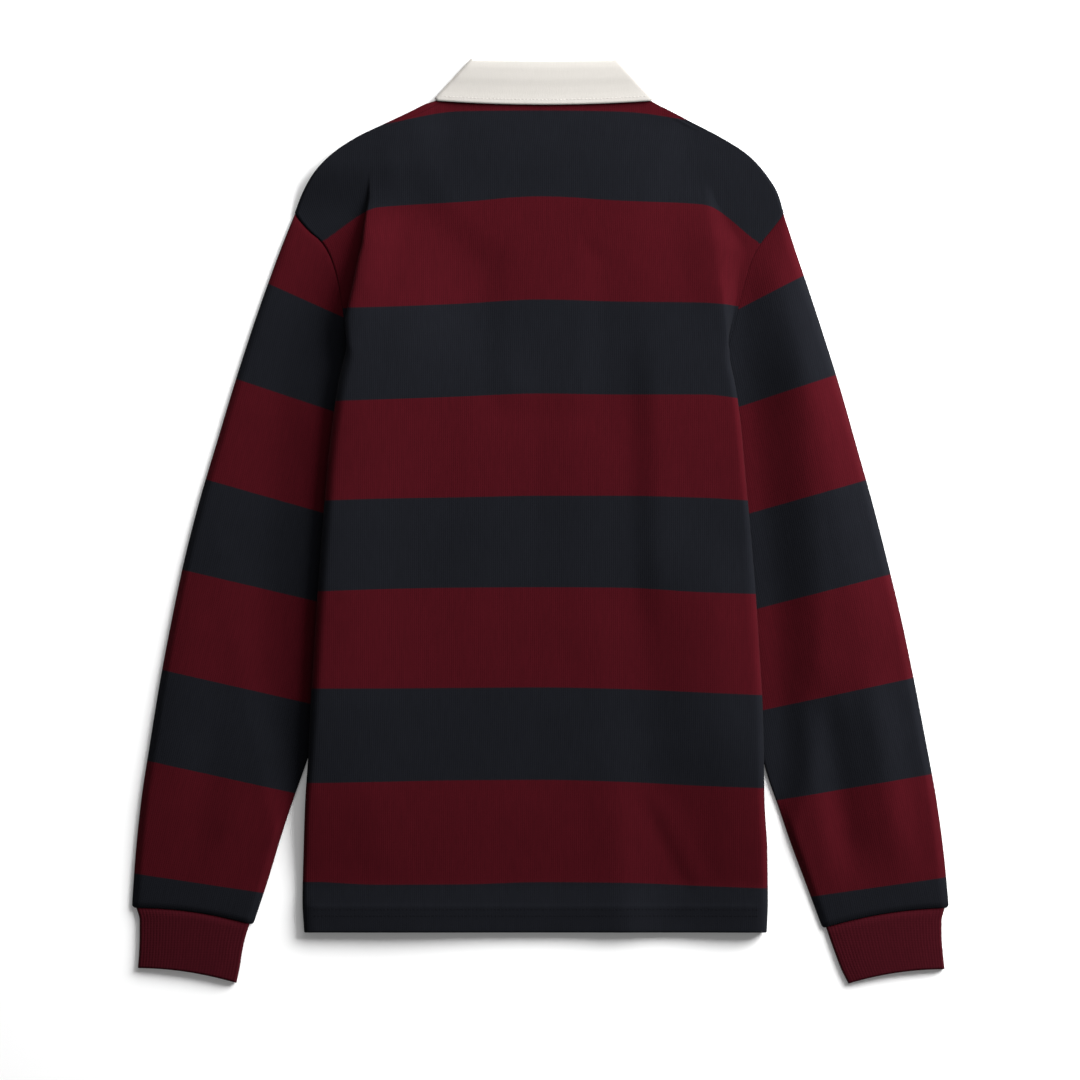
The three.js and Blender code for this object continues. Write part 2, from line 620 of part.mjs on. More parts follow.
function cuff(table, sleeveSections) {
  const seam = sleeveSections[sleeveSections.length - 1];
  const from = planPoint(seam, 0);
  const to = planPoint(seam, 1);
  const inset = CUFF_INSET / from.distanceTo(to);
  const [outer, inner] = [from.clone().lerp(to, inset), to.clone().lerp(from, inset)];
  const drop = SEAM_GAP;
  const first = { outerX: outer.x, outerY: outer.y - drop, innerX: inner.x, innerY: inner.y - drop };
  const sections = [first, ...table];
  const at = (i, share) => {
    const p = planPoint(sections[i], share);
    p.y += mix(SLEEVE_BOW, SLEEVE_BOW / 2, i / (sections.length - 1)) * 4 * share * (1 - share);
    return p;
  };
  return flatTube(sections, RIB, SEAM_GAP, { at, rise: () => CUFF_FULLNESS, shares: CUFF_SHARES });
}

// One ring of the collar, flattened: its front half lies on the floor, its back half on top.
// edgeShare is how far down the side it reaches, and rollDrop how far down it begins.
function collarRing({ front, rows, rollY, lowerY, edgeShare, radius, rollDrop }) {
  const centreZ = RING_RADIUS + TWILL / 2;
  const sideAt = (share) => ringCorner(mix(rollDrop, edgeShare, share));
  const grid = [];
  for (let r = 0; r <= rows; r += 1) {
    const share = r / rows;
    const half = [];
    front.forEach((s) => {
      const x = mix(s.rollX, s.edgeX, share);
      const y = mix(s.rollY, s.edgeY, share);
      half.push({ p: new THREE.Vector3(x, y, centreZ - radius), n: DOWN });
    });
    for (let j = 0; j <= RING_STEPS; j += 1) {
      const angle = -Math.PI / 2 + (Math.PI * j) / RING_STEPS;
      const n = OUTWARD.clone().multiplyScalar(Math.cos(angle));
      n.z = Math.sin(angle);
      const p = sideAt(share).setZ(centreZ).addScaledVector(n, radius);
      half.push({ p, n });
    }
    const corner = sideAt(share);
    const middleY = mix(rollY, lowerY, share);
    for (let j = 1; j <= BACK_STEPS / 2; j += 1) {
      const t = 1 - j / (BACK_STEPS / 2);
      const x = corner.x * t;
      const y = mix(middleY, corner.y, t * t);
      half.push({ p: new THREE.Vector3(x, y, centreZ + radius), n: UP });
    }
    const mirrored = half.slice(0, -1).reverse().map(({ p, n }) => ({
      p: new THREE.Vector3(-p.x, p.y, p.z),
      n: new THREE.Vector3(-n.x, n.y, n.z),
    }));
    grid.push([...half, ...mirrored]);
  }
  const geometry = wall(grid, TWILL);
  geometry.translate(COLLAR_X, 0, 0);
  return geometry;
}

function collarFall() {
  return collarRing({
    front: FRONT_FALL,
    rows: FALL_ROWS,
    rollY: BACK_ROLL_Y,
    lowerY: BACK_EDGE_Y,
    edgeShare: 1,
    radius: RING_RADIUS,
    rollDrop: 0,
  });
}

function collarStand() {
  return collarRing({
    front: FRONT_STAND,
    rows: STAND_ROWS,
    rollY: BACK_ROLL_Y - STAND_BELOW,
    lowerY: BACK_SEAM_Y,
    edgeShare: SIDE_SEAM,
    radius: PITCH / 2,
    rollDrop: STAND_DROP,
  });
}

function placket() {
  const { width, top, bottom, corner } = PLACKET;
  const [left, right] = [COLLAR_X - width / 2, COLLAR_X + width / 2];
  const shape = new THREE.Shape([
    new THREE.Vector2(left, top),
    new THREE.Vector2(left, bottom + corner),
    new THREE.Vector2(left + corner, bottom),
    new THREE.Vector2(right - corner, bottom),
    new THREE.Vector2(right, bottom + corner),
    new THREE.Vector2(right, top),
  ]);
  return new THREE.ExtrudeGeometry(shape, { depth: TWILL, bevelEnabled: false });
}

const shirt = new THREE.Group();
shirt.add(named('back', panel(BACK, BACK_SEAM), NAVY, KNIT_ROUGHNESS));
shirt.add(named('front', panel(FRONT, FRONT_SEAM), NAVY, KNIT_ROUGHNESS));
shirt.add(named('sleeve_left', sleeve(LEFT_SLEEVE, -1), NAVY, KNIT_ROUGHNESS));
shirt.add(named('sleeve_right', sleeve(RIGHT_SLEEVE, 1), NAVY, KNIT_ROUGHNESS));
shirt.add(named('cuff_left', cuff(LEFT_CUFF, LEFT_SLEEVE), BURGUNDY, KNIT_ROUGHNESS));
shirt.add(named('cuff_right', cuff(RIGHT_CUFF, RIGHT_SLEEVE), BURGUNDY, KNIT_ROUGHNESS));
shirt.add(named('collar_fall', collarFall(), OFF_WHITE, TWILL_ROUGHNESS));
shirt.add(named('collar_stand', collarStand(), OFF_WHITE, TWILL_ROUGHNESS));
shirt.add(named('placket', placket(), OFF_WHITE, TWILL_ROUGHNESS));

export default shirt;
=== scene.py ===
# %% [markdown]
# # A rugby shirt, laid flat on its front
#
# The object is a long-sleeved rugby shirt of heavy striped jersey, with rib cuffs and an off-white
# twill collar. It lies with its back upwards. Both sides of the body are turned under, and they lie
# on the sleeves as far as the forearms. The frame holds one plain solid for each cut piece. This
# lesson dresses each solid in cloth: a thin shell on the same form, with its folds, knit and sewing.
#
# Sizes are in millimetres until a piece is made, and metres from there on.

import json
import math

import bmesh
import bpy
import numpy as np
from mathutils import Matrix, Vector

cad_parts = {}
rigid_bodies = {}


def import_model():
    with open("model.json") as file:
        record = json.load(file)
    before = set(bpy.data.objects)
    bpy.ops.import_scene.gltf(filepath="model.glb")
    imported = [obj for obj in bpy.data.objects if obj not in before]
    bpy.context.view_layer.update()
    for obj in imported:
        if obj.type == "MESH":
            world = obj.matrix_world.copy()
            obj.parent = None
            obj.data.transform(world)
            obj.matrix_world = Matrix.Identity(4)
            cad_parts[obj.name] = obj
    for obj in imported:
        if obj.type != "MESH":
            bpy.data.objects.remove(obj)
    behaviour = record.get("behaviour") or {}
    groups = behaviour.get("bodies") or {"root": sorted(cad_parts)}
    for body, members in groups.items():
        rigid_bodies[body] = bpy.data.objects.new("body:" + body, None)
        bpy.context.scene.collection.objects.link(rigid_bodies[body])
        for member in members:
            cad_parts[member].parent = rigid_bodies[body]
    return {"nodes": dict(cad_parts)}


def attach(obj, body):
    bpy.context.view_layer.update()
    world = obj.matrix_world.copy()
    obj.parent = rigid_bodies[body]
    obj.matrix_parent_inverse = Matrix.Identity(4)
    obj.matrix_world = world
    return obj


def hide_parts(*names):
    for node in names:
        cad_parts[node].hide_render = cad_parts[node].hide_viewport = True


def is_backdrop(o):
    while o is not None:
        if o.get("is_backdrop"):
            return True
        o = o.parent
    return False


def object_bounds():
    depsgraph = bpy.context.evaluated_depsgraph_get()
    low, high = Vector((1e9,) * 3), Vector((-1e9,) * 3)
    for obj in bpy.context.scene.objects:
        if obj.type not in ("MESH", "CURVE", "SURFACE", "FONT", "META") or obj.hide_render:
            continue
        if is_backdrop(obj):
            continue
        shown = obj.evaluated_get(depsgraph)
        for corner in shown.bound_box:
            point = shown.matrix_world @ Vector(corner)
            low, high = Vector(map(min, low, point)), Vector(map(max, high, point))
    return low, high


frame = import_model()
cad_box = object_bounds()
MM = 0.001
print("frame nodes:", ", ".join(sorted(frame["nodes"])))

# %% [markdown]
# ## Floor, light and camera
#
# The shirt is seen from straight above with a long lens, so the outline keeps its true shape. One
# large soft lamp stands low at the upper right and draws the shadows at the lower left. A small one
# beyond the collar makes the shirt brighter towards its top, and an even sky fills the shadows. The
# floor is bright enough to reach plain white where the lamps reach it.

# %% Set up the stage
VIEW_SIDE = 937.0  # width of floor that the picture covers
VIEW_CENTRE = (-0.3, -17.0)
CAMERA_HEIGHT = 9000.0
CLOTH_HEIGHT = 6.0  # the scale is set at the height of the cloth
LAMPS = [
    dict(name="window", place=(2110, 1425, 1240), aim=(0, 0, 0), size=2150, power=236),
    dict(name="lamp_beyond_collar", place=(100, 1150, 700), aim=(0, 100, 0), size=900, power=8),
]
SKY_STRENGTH = 0.17
FLOOR_SIZE = 14000.0
FLOOR_GLOW = 0.08


def make_stage():
    scene = bpy.context.scene
    scene.view_settings.view_transform = "Standard"
    camera = bpy.data.objects.new("camera", bpy.data.cameras.new("camera"))
    camera.location = (VIEW_CENTRE[0] * MM, VIEW_CENTRE[1] * MM, CAMERA_HEIGHT * MM)
    camera.data.angle = 2 * math.atan(VIEW_SIDE / 2 / (CAMERA_HEIGHT - CLOTH_HEIGHT))
    camera.data.clip_end = 60
    scene.collection.objects.link(camera)
    scene.camera = camera

    for row in LAMPS:
        data = bpy.data.lights.new(row["name"], "AREA")
        data.shape = "DISK"
        data.size = row["size"] * MM
        data.energy = row["power"]
        lamp = bpy.data.objects.new(row["name"], data)
        lamp.location = Vector(row["place"]) * MM
        aim = Vector(row["aim"]) * MM - lamp.location
        lamp.rotation_euler = aim.to_track_quat("-Z", "Y").to_euler()
        scene.collection.objects.link(lamp)

    world = bpy.data.worlds.new("sky")
    world.use_nodes = True
    sky = world.node_tree.nodes["Background"]
    sky.inputs["Color"].default_value = (1, 1, 1, 1)
    sky.inputs["Strength"].default_value = SKY_STRENGTH
    scene.world = world

    mesh = bpy.data.meshes.new("floor")
    bm = bmesh.new()
    bmesh.ops.create_grid(bm, x_segments=1, y_segments=1, size=FLOOR_SIZE / 2 * MM)
    bm.to_mesh(mesh)
    bm.free()
    paint = bpy.data.materials.new("floor")
    paint.use_nodes = True
    surface = paint.node_tree.nodes["Principled BSDF"]
    surface.inputs["Base Color"].default_value = (0.97, 0.97, 0.97, 1)
    surface.inputs["Roughness"].default_value = 1.0
    surface.inputs["Specular IOR Level"].default_value = 0.0
    surface.inputs["Emission Color"].default_value = (1, 1, 1, 1)
    surface.inputs["Emission Strength"].default_value = FLOOR_GLOW
    mesh.materials.append(paint)
    floor = bpy.data.objects.new("floor", mesh)
    scene.collection.objects.link(floor)
    floor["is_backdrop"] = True


make_stage()
print("camera and lamps set:", len(LAMPS))

# %% [markdown]
# ## Writing materials as sums
#
# A wire stands for one socket of a material. Python's own operators add the Math nodes, so a
# pattern reads like a formula. Every other node comes from one method, which takes the node's type,
# its settings and what its sockets get.

# %% Define the wire and the shader


class Wire:
    """An output socket, with Python's operators as Math nodes."""

    def __init__(self, shader, socket):
        self.shader = shader
        self.socket = socket

    def math(self, operation, *values):
        return self.shader.node(
            "ShaderNodeMath", {"operation": operation}, dict(enumerate(values))
        )

    def sine(self):
        return self.math("SINE", self)

    def there_and_back(self, span):
        return self.math("PINGPONG", self, span)

    def clamped(self):
        return self.math("MAXIMUM", self.math("MINIMUM", self, 1.0), 0.0)


def operator(operation, reflected):
    """A method of Wire for one of Python's operators, or for its reflected form."""
    if reflected:
        return lambda wire, other: wire.math(operation, other, wire)
    return lambda wire, other: wire.math(operation, wire, other)


OPERATORS = dict(add="ADD", sub="SUBTRACT", mul="MULTIPLY", truediv="DIVIDE", pow="POWER")
for name, operation in OPERATORS.items():
    setattr(Wire, f"__{name}__", operator(operation, False))
    setattr(Wire, f"__r{name}__", operator(operation, True))


class Shader:
    """A material whose nodes are added by one method."""

    def __init__(self, name, roughness, sheen):
        self.material = bpy.data.materials.new(name)
        self.material.use_nodes = True
        self.tree = self.material.node_tree
        self.surface = self.tree.nodes["Principled BSDF"]
        self.surface.inputs["Specular IOR Level"].default_value = 0.03
        self.surface.inputs["Sheen Weight"].default_value = sheen
        self.surface.inputs["Sheen Roughness"].default_value = 0.5
        self.surface.inputs["Roughness"].default_value = roughness

    def put(self, socket, value):
        if isinstance(value, Wire):
            self.tree.links.new(value.socket, socket)
        else:
            socket.default_value = value

    def node(self, kind, settings=None, sockets=None, output=0):
        node = self.tree.nodes.new(kind)
        for name, value in (settings or {}).items():
            setattr(node, name, value)
        for name, value in (sockets or {}).items():
            self.put(node.inputs[name], value)
        return Wire(self, node.outputs[output])

    def mix(self, factor, first, second):
        """A colour between two others."""
        settings = {"data_type": "RGBA"}
        sockets = {0: factor, 6: first, 7: second}
        return self.node("ShaderNodeMix", settings, sockets, output=2)

    def weave(self):
        """The place on the cloth, in metres across and along it."""
        uv = self.node("ShaderNodeUVMap", {"uv_map": "weave"})
        parts = [
            self.node("ShaderNodeSeparateXYZ", sockets={0: uv}, output=i)
            for i in (0, 1)
        ]
        return uv, parts[0], parts[1]

    def noise(self, place, scale, detail=2.0):
        sockets = {"Vector": place, "Scale": scale, "Detail": detail}
        return self.node("ShaderNodeTexNoise", sockets=sockets)

    def stretched(self, place, scale):
        """The same place, scaled along each direction."""
        return self.node(
            "ShaderNodeVectorMath", {"operation": "MULTIPLY"}, {0: place, 1: scale}
        )

    def shaded(self, colour, brightness):
        """A colour made lighter or darker, with its hue kept."""
        settings = {"operation": "SCALE"}
        return self.node(
            "ShaderNodeVectorMath", settings, {0: colour, "Scale": brightness}
        )

    def relief(self, height, distance):
        bump = self.node(
            "ShaderNodeBump", sockets={"Height": height, "Distance": distance}
        )
        self.put(self.surface.inputs["Normal"], bump)


def linear(red, green, blue):
    """A colour given as it looks on a screen, from 0 to 255."""
    return tuple(((c / 255 + 0.055) / 1.055) ** 2.4 for c in (red, green, blue)) + (1,)


print("operators of a wire:", ", ".join(OPERATORS))

# %% [markdown]
# ## The striped jersey
#
# Rugby jersey is a heavy cotton knit: columns of small V-shaped loops, the wales, run up the cloth,
# and each row of loops across it is a course. The stripes are knitted in, so an edge follows one
# course all the way, and that course bends with the cloth. So every point of a piece carries its
# place in the order of stripes, as an attribute, and the material only asks whether that number is
# even or odd. The loops are a bump, because there are hundreds of thousands of them.

# %% Make the jersey
NAVY = linear(18.8, 19.9, 24.3)
BURGUNDY = linear(58.3, 8.4, 16)
STRIPE_HEIGHT = 87.0
WALE = 1.8
COURSE = 1.5
EDGE_SOFTNESS = 0.6
LOOP_RELIEF = 0.12


def knit_height(across, along):
    """Rows of V-shaped loops, 0 in the grooves and 1 on the legs of the loops."""
    leg = (across / (WALE * MM)).there_and_back(0.5) * 2
    groove = 1 - (1 - leg) ** 3
    slant = along / (COURSE * MM) + leg * 0.5
    loop = (slant * (2 * math.pi)).sine() * 0.5 + 0.5
    return groove * 0.75 + loop * 0.25


def jersey():
    cloth = Shader("striped_jersey", 0.93, 0.012)
    place, across, along = cloth.weave()
    order = cloth.node(
        "ShaderNodeAttribute", {"attribute_name": "stripe"}, output="Fac"
    )
    from_navy = (order - 0.5).there_and_back(1.0)
    stripe = ((from_navy - 0.5) * (STRIPE_HEIGHT / EDGE_SOFTNESS) + 0.5).clamped()
    colour = cloth.mix(stripe, NAVY, BURGUNDY)
    yarn = cloth.noise(cloth.stretched(place, (420, 55, 1)), 1.0)
    patch = cloth.noise(place, 14.0)
    tone = 1 + (yarn - 0.5) * 0.3 + (patch - 0.5) * 0.2
    cloth.put(cloth.surface.inputs["Base Color"], cloth.shaded(colour, tone))
    fuzz = cloth.noise(place, 900.0)
    cloth.relief(knit_height(across, along) + fuzz * 0.35, LOOP_RELIEF * MM)
    return cloth.material


# %% [markdown]
# ## Rib, twill and thread
#
# The cuffs are a rib knit, whose ribs are modelled, so the material adds only the loops. The collar
# and placket are cotton twill, with fine slanting lines. The thread is a plain matt cotton.

# %% Make the rib, the twill and the thread
RIB_COLOUR = linear(53, 9.2, 17)
TWILL_COLOUR = linear(173, 169.5, 164.5)
THREADS = {"dark": linear(15, 15, 19), "light": linear(200, 196, 191)}
TWILL_LINE = 0.75


def rib():
    cloth = Shader("burgundy_rib", 0.93, 0.012)
    place, across, along = cloth.weave()
    tone = cloth.noise(cloth.stretched(place, (500, 60, 1)), 1.0)
    colour = cloth.shaded(RIB_COLOUR[:3], 1 + (tone - 0.5) * 0.3)
    cloth.put(cloth.surface.inputs["Base Color"], colour)
    loop = (along * (2 * math.pi / (COURSE * MM))).sine() * 0.5
    fuzz = cloth.noise(place, 900.0)
    cloth.relief(loop + fuzz * 0.5, 0.06 * MM)
    return cloth.material


def twill():
    cloth = Shader("collar_twill", 0.85, 0.1)
    place, across, along = cloth.weave()
    line = ((across + along) * (2 * math.pi / (TWILL_LINE * MM))).sine() * 0.5 + 0.5
    slub = cloth.noise(cloth.stretched(place, (900, 120, 1)), 1.0)
    tone = cloth.noise(place, 40.0)
    brightness = 1 + (line - 0.5) * 0.05 + (slub - 0.5) * 0.08 + (tone - 0.5) * 0.05
    cloth.put(cloth.surface.inputs["Base Color"], cloth.shaded(TWILL_COLOUR[:3], brightness))
    cloth.relief(line * 0.6 + slub * 0.4, 0.1 * MM)
    return cloth.material


def thread(name, colour):
    cotton = Shader("thread_" + name, 0.9, 0.012)
    place = cotton.node("ShaderNodeTexCoord", output="Object")
    tone = cotton.noise(place, 700.0)
    worn = cotton.mix(0.3, colour, (0, 0, 0, 1))
    cotton.put(cotton.surface.inputs["Base Color"], cotton.mix(tone, worn, colour))
    return cotton.material


MATERIALS = {
    "striped_jersey": jersey(),
    "burgundy_rib": rib(),
    "collar_twill": twill(),
}
THREAD_MATERIALS = {name: thread(name, colour) for name, colour in THREADS.items()}
print("materials:", ", ".join(MATERIALS), "and", len(THREAD_MATERIALS), "threads")

# %% [markdown]
# ## The cut, as tables of sections
#
# A pattern cutter works from a few measured lines. So does this lesson: the body is measured across
# at rows from the neck to the hem, the sleeves from the armhole to the cuff, and a smooth line
# through each column gives every place between. The fold is the side edge that shows. Beyond it the
# cloth either lies open as far as the shoulder line or armhole, or it is turned under.

# %% Write the tables
BODY = dict(
    y=[377.5, 365.5, 361.5, 355.5, 345, 332, 317, 301.5, 284, 266, 252.5, 241.5, 227.5, 205]
    + [179, 152.5, 139.5, 118, 83, 44, 0.5, -52, -112.5, -165, -206, -243, -286.5, -330, -357.5],
    left_fold=[-67, -75.5, -86, -97, -120, -142.5, -147.5, -147.5, -147.5, -149.5, -150.5]
    + [-151, -154, -158, -163.5, -167.5, -170.5, -175.5, -180.5, -185, -188.5, -192.5, -196.5]
    + [-199.5, -201.5, -204, -205.5, -206.5, -205],
    right_fold=[73.5, 82, 88, 99.5, 120.5, 141, 143, 143, 143, 145, 147, 149.5, 151.5, 155]
    + [159, 163, 164.5, 169, 174, 177.5, 181.5, 186, 190, 193, 194, 194.5, 197, 197.5, 196.5],
    left_end=[-76.5, -87.5, -99, -111, -133, -160, -182, -196.5, -206.5, -213.5, -202, -189.5]
    + [-181.5, -175, -171, -167.5, -158.5, -143.5, -119.5, -92, -97.5, -105, -113.5, -120.5]
    + [-126, -131, -137, -143.5, -147],
    right_end=[83.5, 94, 100.5, 112.5, 132.5, 157.5, 180.5, 195, 206, 211.5, 201, 192, 184]
    + [177, 170.5, 163, 153, 139, 115, 88, 93.5, 100, 107, 113.5, 118.5, 123, 128, 134, 137],
    turn=[0] * 15 + [0.5] + [1] * 13,
)
ARMHOLE_TOP = 266.0
ARMPIT = 44.0
NECK_TOP = 377.5
HEM = -357.5
OUTER_Y = [235.5, 200.5, 161.5, 118, 70, 18, -34.5, -86.5, -139, -191, -243, -291, -334]
SLEEVES = {
    "left": dict(
        outer_x=[-214, -225, -238, -251.5, -265.5, -280, -295.5, -309, -320, -330, -338.5]
        + [-346.5, -351.5, -354.5],
        outer_y=[262.5] + OUTER_Y,
        inner_x=[-92, -104, -118.5, -133, -146.5, -159.5, -172.5, -185, -196.5, -207, -217]
        + [-226.5, -236.5, -248.5],
        inner_y=[44, 18, -12.5, -43, -73.5, -104, -134.5, -165, -192.5, -221.5, -250, -279.5]
        + [-313, -349],
    ),
    "right": dict(
        outer_x=[213, 222, 233.5, 246, 259.5, 273, 287.5, 301, 313.5, 324.5, 334.5, 344]
        + [350.5, 354.5],
        outer_y=[264.5] + OUTER_Y,
        inner_x=[88, 99.5, 112.5, 125.5, 138.5, 151, 164, 177.5, 189, 197, 207, 217, 229.5]
        + [244],
        inner_y=[44, 18, -12.5, -43, -73.5, -104, -134.5, -165, -192.5, -221.5, -250, -279.5]
        + [-313, -352],
    ),
}
SLEEVE_BOW = 4.0
CUFFS = {
    "left": dict(
        outer_x=[-348, -348, -348.5, -349.5],
        outer_y=[-347.5, -360.5, -375.5, -388.5],
        inner_x=[-256, -258.5, -260.5, -263.5],
        inner_y=[-363, -374.5, -387.5, -401.5],
    ),
    "right": dict(
        outer_x=[348.5, 348.5, 349.5, 351],
        outer_y=[-348.5, -360.5, -374.5, -389.5],
        inner_x=[252, 256, 261, 267],
        inner_y=[-366, -377, -390, -402],
    ),
}
CUFF_INSET = 3.2
SEAM_GAP = 0.3
COLLAR_X = 3.3
SIDE_ROLL = (63.0, 401.8)
SIDE_EDGE = (95.5, 366.5)
SIDE_SEAM = 0.66
BACK_ROLL_Y = 399.0
BACK_EDGE_Y = 360.7
BACK_SEAM_Y = 371.5
FALL = dict(
    roll_x=[1, 11.5, 27.5, 40.5, 50],
    roll_y=[321.5, 325, 335.5, 353, 373],
    edge_x=[44, 57, 71, 82, 90],
    edge_y=[259.5, 272, 287.5, 309.5, 335.5],
)
STAND = dict(
    roll_x=[1, 11.5, 27.5, 40.5, 49],
    roll_y=[321, 324.5, 335, 352.5, 372],
    edge_x=[1, 20.5, 40.5, 57, 70],
    edge_y=[298, 302.5, 316, 338, 361.5],
)
PLACKET = dict(width=30.0, top=296.5, bottom=126.5)
print("sections of the body:", len(BODY["y"]), "and of each sleeve:", len(OUTER_Y) + 1)

# %% [markdown]
# ## Smooth lines through the tables
#
# Straight lines between the sections would leave corners in the outline. A cubic through each pair
# of rows, with a slope that never overshoots, keeps the measured places and rounds the rest.

# %% Define the smooth lines


def smooth(share):
    share = np.clip(share, 0, 1)
    return share * share * (3 - 2 * share)


def mix(a, b, share):
    return a + (b - a) * share


def through(knots, values, at):
    """A smooth line through a table's values, with no overshoot."""
    order = np.argsort(knots)
    knots = np.asarray(knots, float)[order]
    values = np.asarray(values, float)[order]
    step = np.diff(knots)
    slope = np.diff(values) / step
    same_way = slope[:-1] * slope[1:] > 0
    total = np.where(same_way, slope[:-1] + slope[1:], 1)
    inner = np.where(same_way, 2 * slope[:-1] * slope[1:] / total, 0)
    tangent = np.concatenate([slope[:1], inner, slope[-1:]])
    i = np.clip(np.searchsorted(knots, at) - 1, 0, len(step) - 1)
    t = (at - knots[i]) / step[i]
    start = values[i] * (1 + 2 * t) + tangent[i] * step[i] * t
    finish = values[i + 1] * (3 - 2 * t) - tangent[i + 1] * step[i] * (1 - t)
    return start * (1 - t) ** 2 + finish * t**2


def body_line(column, y):
    """A column of the body's table at height y, with the armhole's top left a sharp corner."""
    knots = np.array(BODY["y"], float)
    values = np.array(BODY[column], float)
    above = knots >= ARMHOLE_TOP
    below = knots <= ARMHOLE_TOP
    return np.where(
        y >= ARMHOLE_TOP,
        through(knots[above], values[above], y),
        through(knots[below], values[below], y),
    )


chest = body_line("right_fold", ARMPIT) - body_line("left_fold", ARMPIT)
print("chest width that shows:", float(chest))

# %% [markdown]
# ## Layers of cloth
#
# Cloth climbs over what lies under it. Each layer's height is worked out from its distance to the
# pieces underneath, and it comes down softly beyond their edges, as a heavy knit does.

# %% Define the heights
JERSEY = 1.4
TWILL = 1.6
RIB = 2.0
PITCH = 1.9
CLIMB = dict(margin=20.0, panel=34.0, flap=24.0, collar=30.0, collar_margin=11.0)
STEP_RISE = dict(
    y=[290, 266, 241.5, 205, 152.5, 110],
    left=[0, 2.4, 4.2, 4.2, 1.6, 0],
    right=[0, 1.4, 2.2, 2.4, 0.4, 0],
)
STEP_REACH = 35.0
OPEN_TOP = dict(y=300.0, reach=60.0)  # above this nothing lifts the open sides
LOW_END = dict(y=-335.0, reach=100.0)  # below this the sleeves no longer lift the sides


def segment_distance(a, b, x, y):
    dx, dy = b[0] - a[0], b[1] - a[1]
    share = ((x - a[0]) * dx + (y - a[1]) * dy) / max(dx * dx + dy * dy, 1e-9)
    share = np.clip(share, 0, 1)
    return np.hypot(x - a[0] - dx * share, y - a[1] - dy * share)


def outline_distance(outline, x, y):
    """Distance outside a closed outline, 0 inside it."""
    inside = np.zeros(np.shape(x), bool)
    nearest = np.full(np.shape(x), np.inf)
    for a, b in zip(outline, outline[1:] + outline[:1]):
        nearest = np.minimum(nearest, segment_distance(a, b, x, y))
        if a[1] != b[1]:
            level = (a[1] > y) != (b[1] > y)
            inside ^= level & (x < a[0] + (y - a[1]) * (b[0] - a[0]) / (b[1] - a[1]))
    return np.where(inside, 0, nearest)


def nearest_of(outlines, x, y):
    return np.minimum.reduce([outline_distance(o, x, y) for o in outlines])


def ramp(distance, width, margin):
    return 1 - smooth((distance - margin) / width)


def band_outline(table, first=("outer_x", "outer_y"), second=("inner_x", "inner_y")):
    there = list(zip(table[first[0]], table[first[1]]))
    back = list(zip(table[second[0]], table[second[1]]))
    return there + back[::-1]


def flap_outline(side):
    turned = [i for i, t in enumerate(BODY["turn"]) if t > 0]
    folds = [(BODY[side + "_fold"][i], BODY["y"][i]) for i in turned]
    ends = [(BODY[side + "_end"][i], BODY["y"][i]) for i in turned]
    return folds + ends[::-1]


def leaf_outline(way):
    roll = [(COLLAR_X + way * x, y) for x, y in zip(FALL["roll_x"], FALL["roll_y"])]
    edge = [(COLLAR_X + way * x, y) for x, y in zip(FALL["edge_x"], FALL["edge_y"])]
    side = [(COLLAR_X + way * x, y) for x, y in (SIDE_ROLL, SIDE_EDGE)]
    return roll + side + edge[::-1]


def placket_outline():
    half = PLACKET["width"] / 2
    top, bottom = PLACKET["top"], PLACKET["bottom"]
    corners = [(-half, top), (half, top), (half, bottom), (-half, bottom)]
    return [(COLLAR_X + x, y) for x, y in corners]


def neck_outline():
    corners = [
        (-SIDE_ROLL[0], SIDE_ROLL[1]),
        SIDE_ROLL,
        (STAND["edge_x"][3], STAND["edge_y"][3]),
        (0, STAND["edge_y"][0]),
        (-STAND["edge_x"][3], STAND["edge_y"][3]),
    ]
    return [(COLLAR_X + x, y) for x, y in corners]


SLEEVE_OUTLINES = [band_outline(SLEEVES[side]) for side in SLEEVES]
FLAP_OUTLINES = [flap_outline(side) for side in SLEEVES]
UNDER_FRONT = [leaf_outline(-1), leaf_outline(1), placket_outline()]


def sleeve_lift(x, y, width):
    low = smooth((y - LOW_END["y"]) / LOW_END["reach"])
    return 2 * PITCH * low * ramp(nearest_of(SLEEVE_OUTLINES, x, y), width, CLIMB["margin"])


def flap_lift(x, y, width):
    return 2 * PITCH * ramp(nearest_of(FLAP_OUTLINES, x, y), width, CLIMB["margin"])


def collar_lift(outlines, x, y):
    return PITCH * ramp(nearest_of(outlines, x, y), CLIMB["collar"], CLIMB["collar_margin"])


def lifted(y):
    """How far the sides rise over the sleeves at y, from 0 by the neck to 1."""
    return smooth((OPEN_TOP["y"] - y) / OPEN_TOP["reach"])
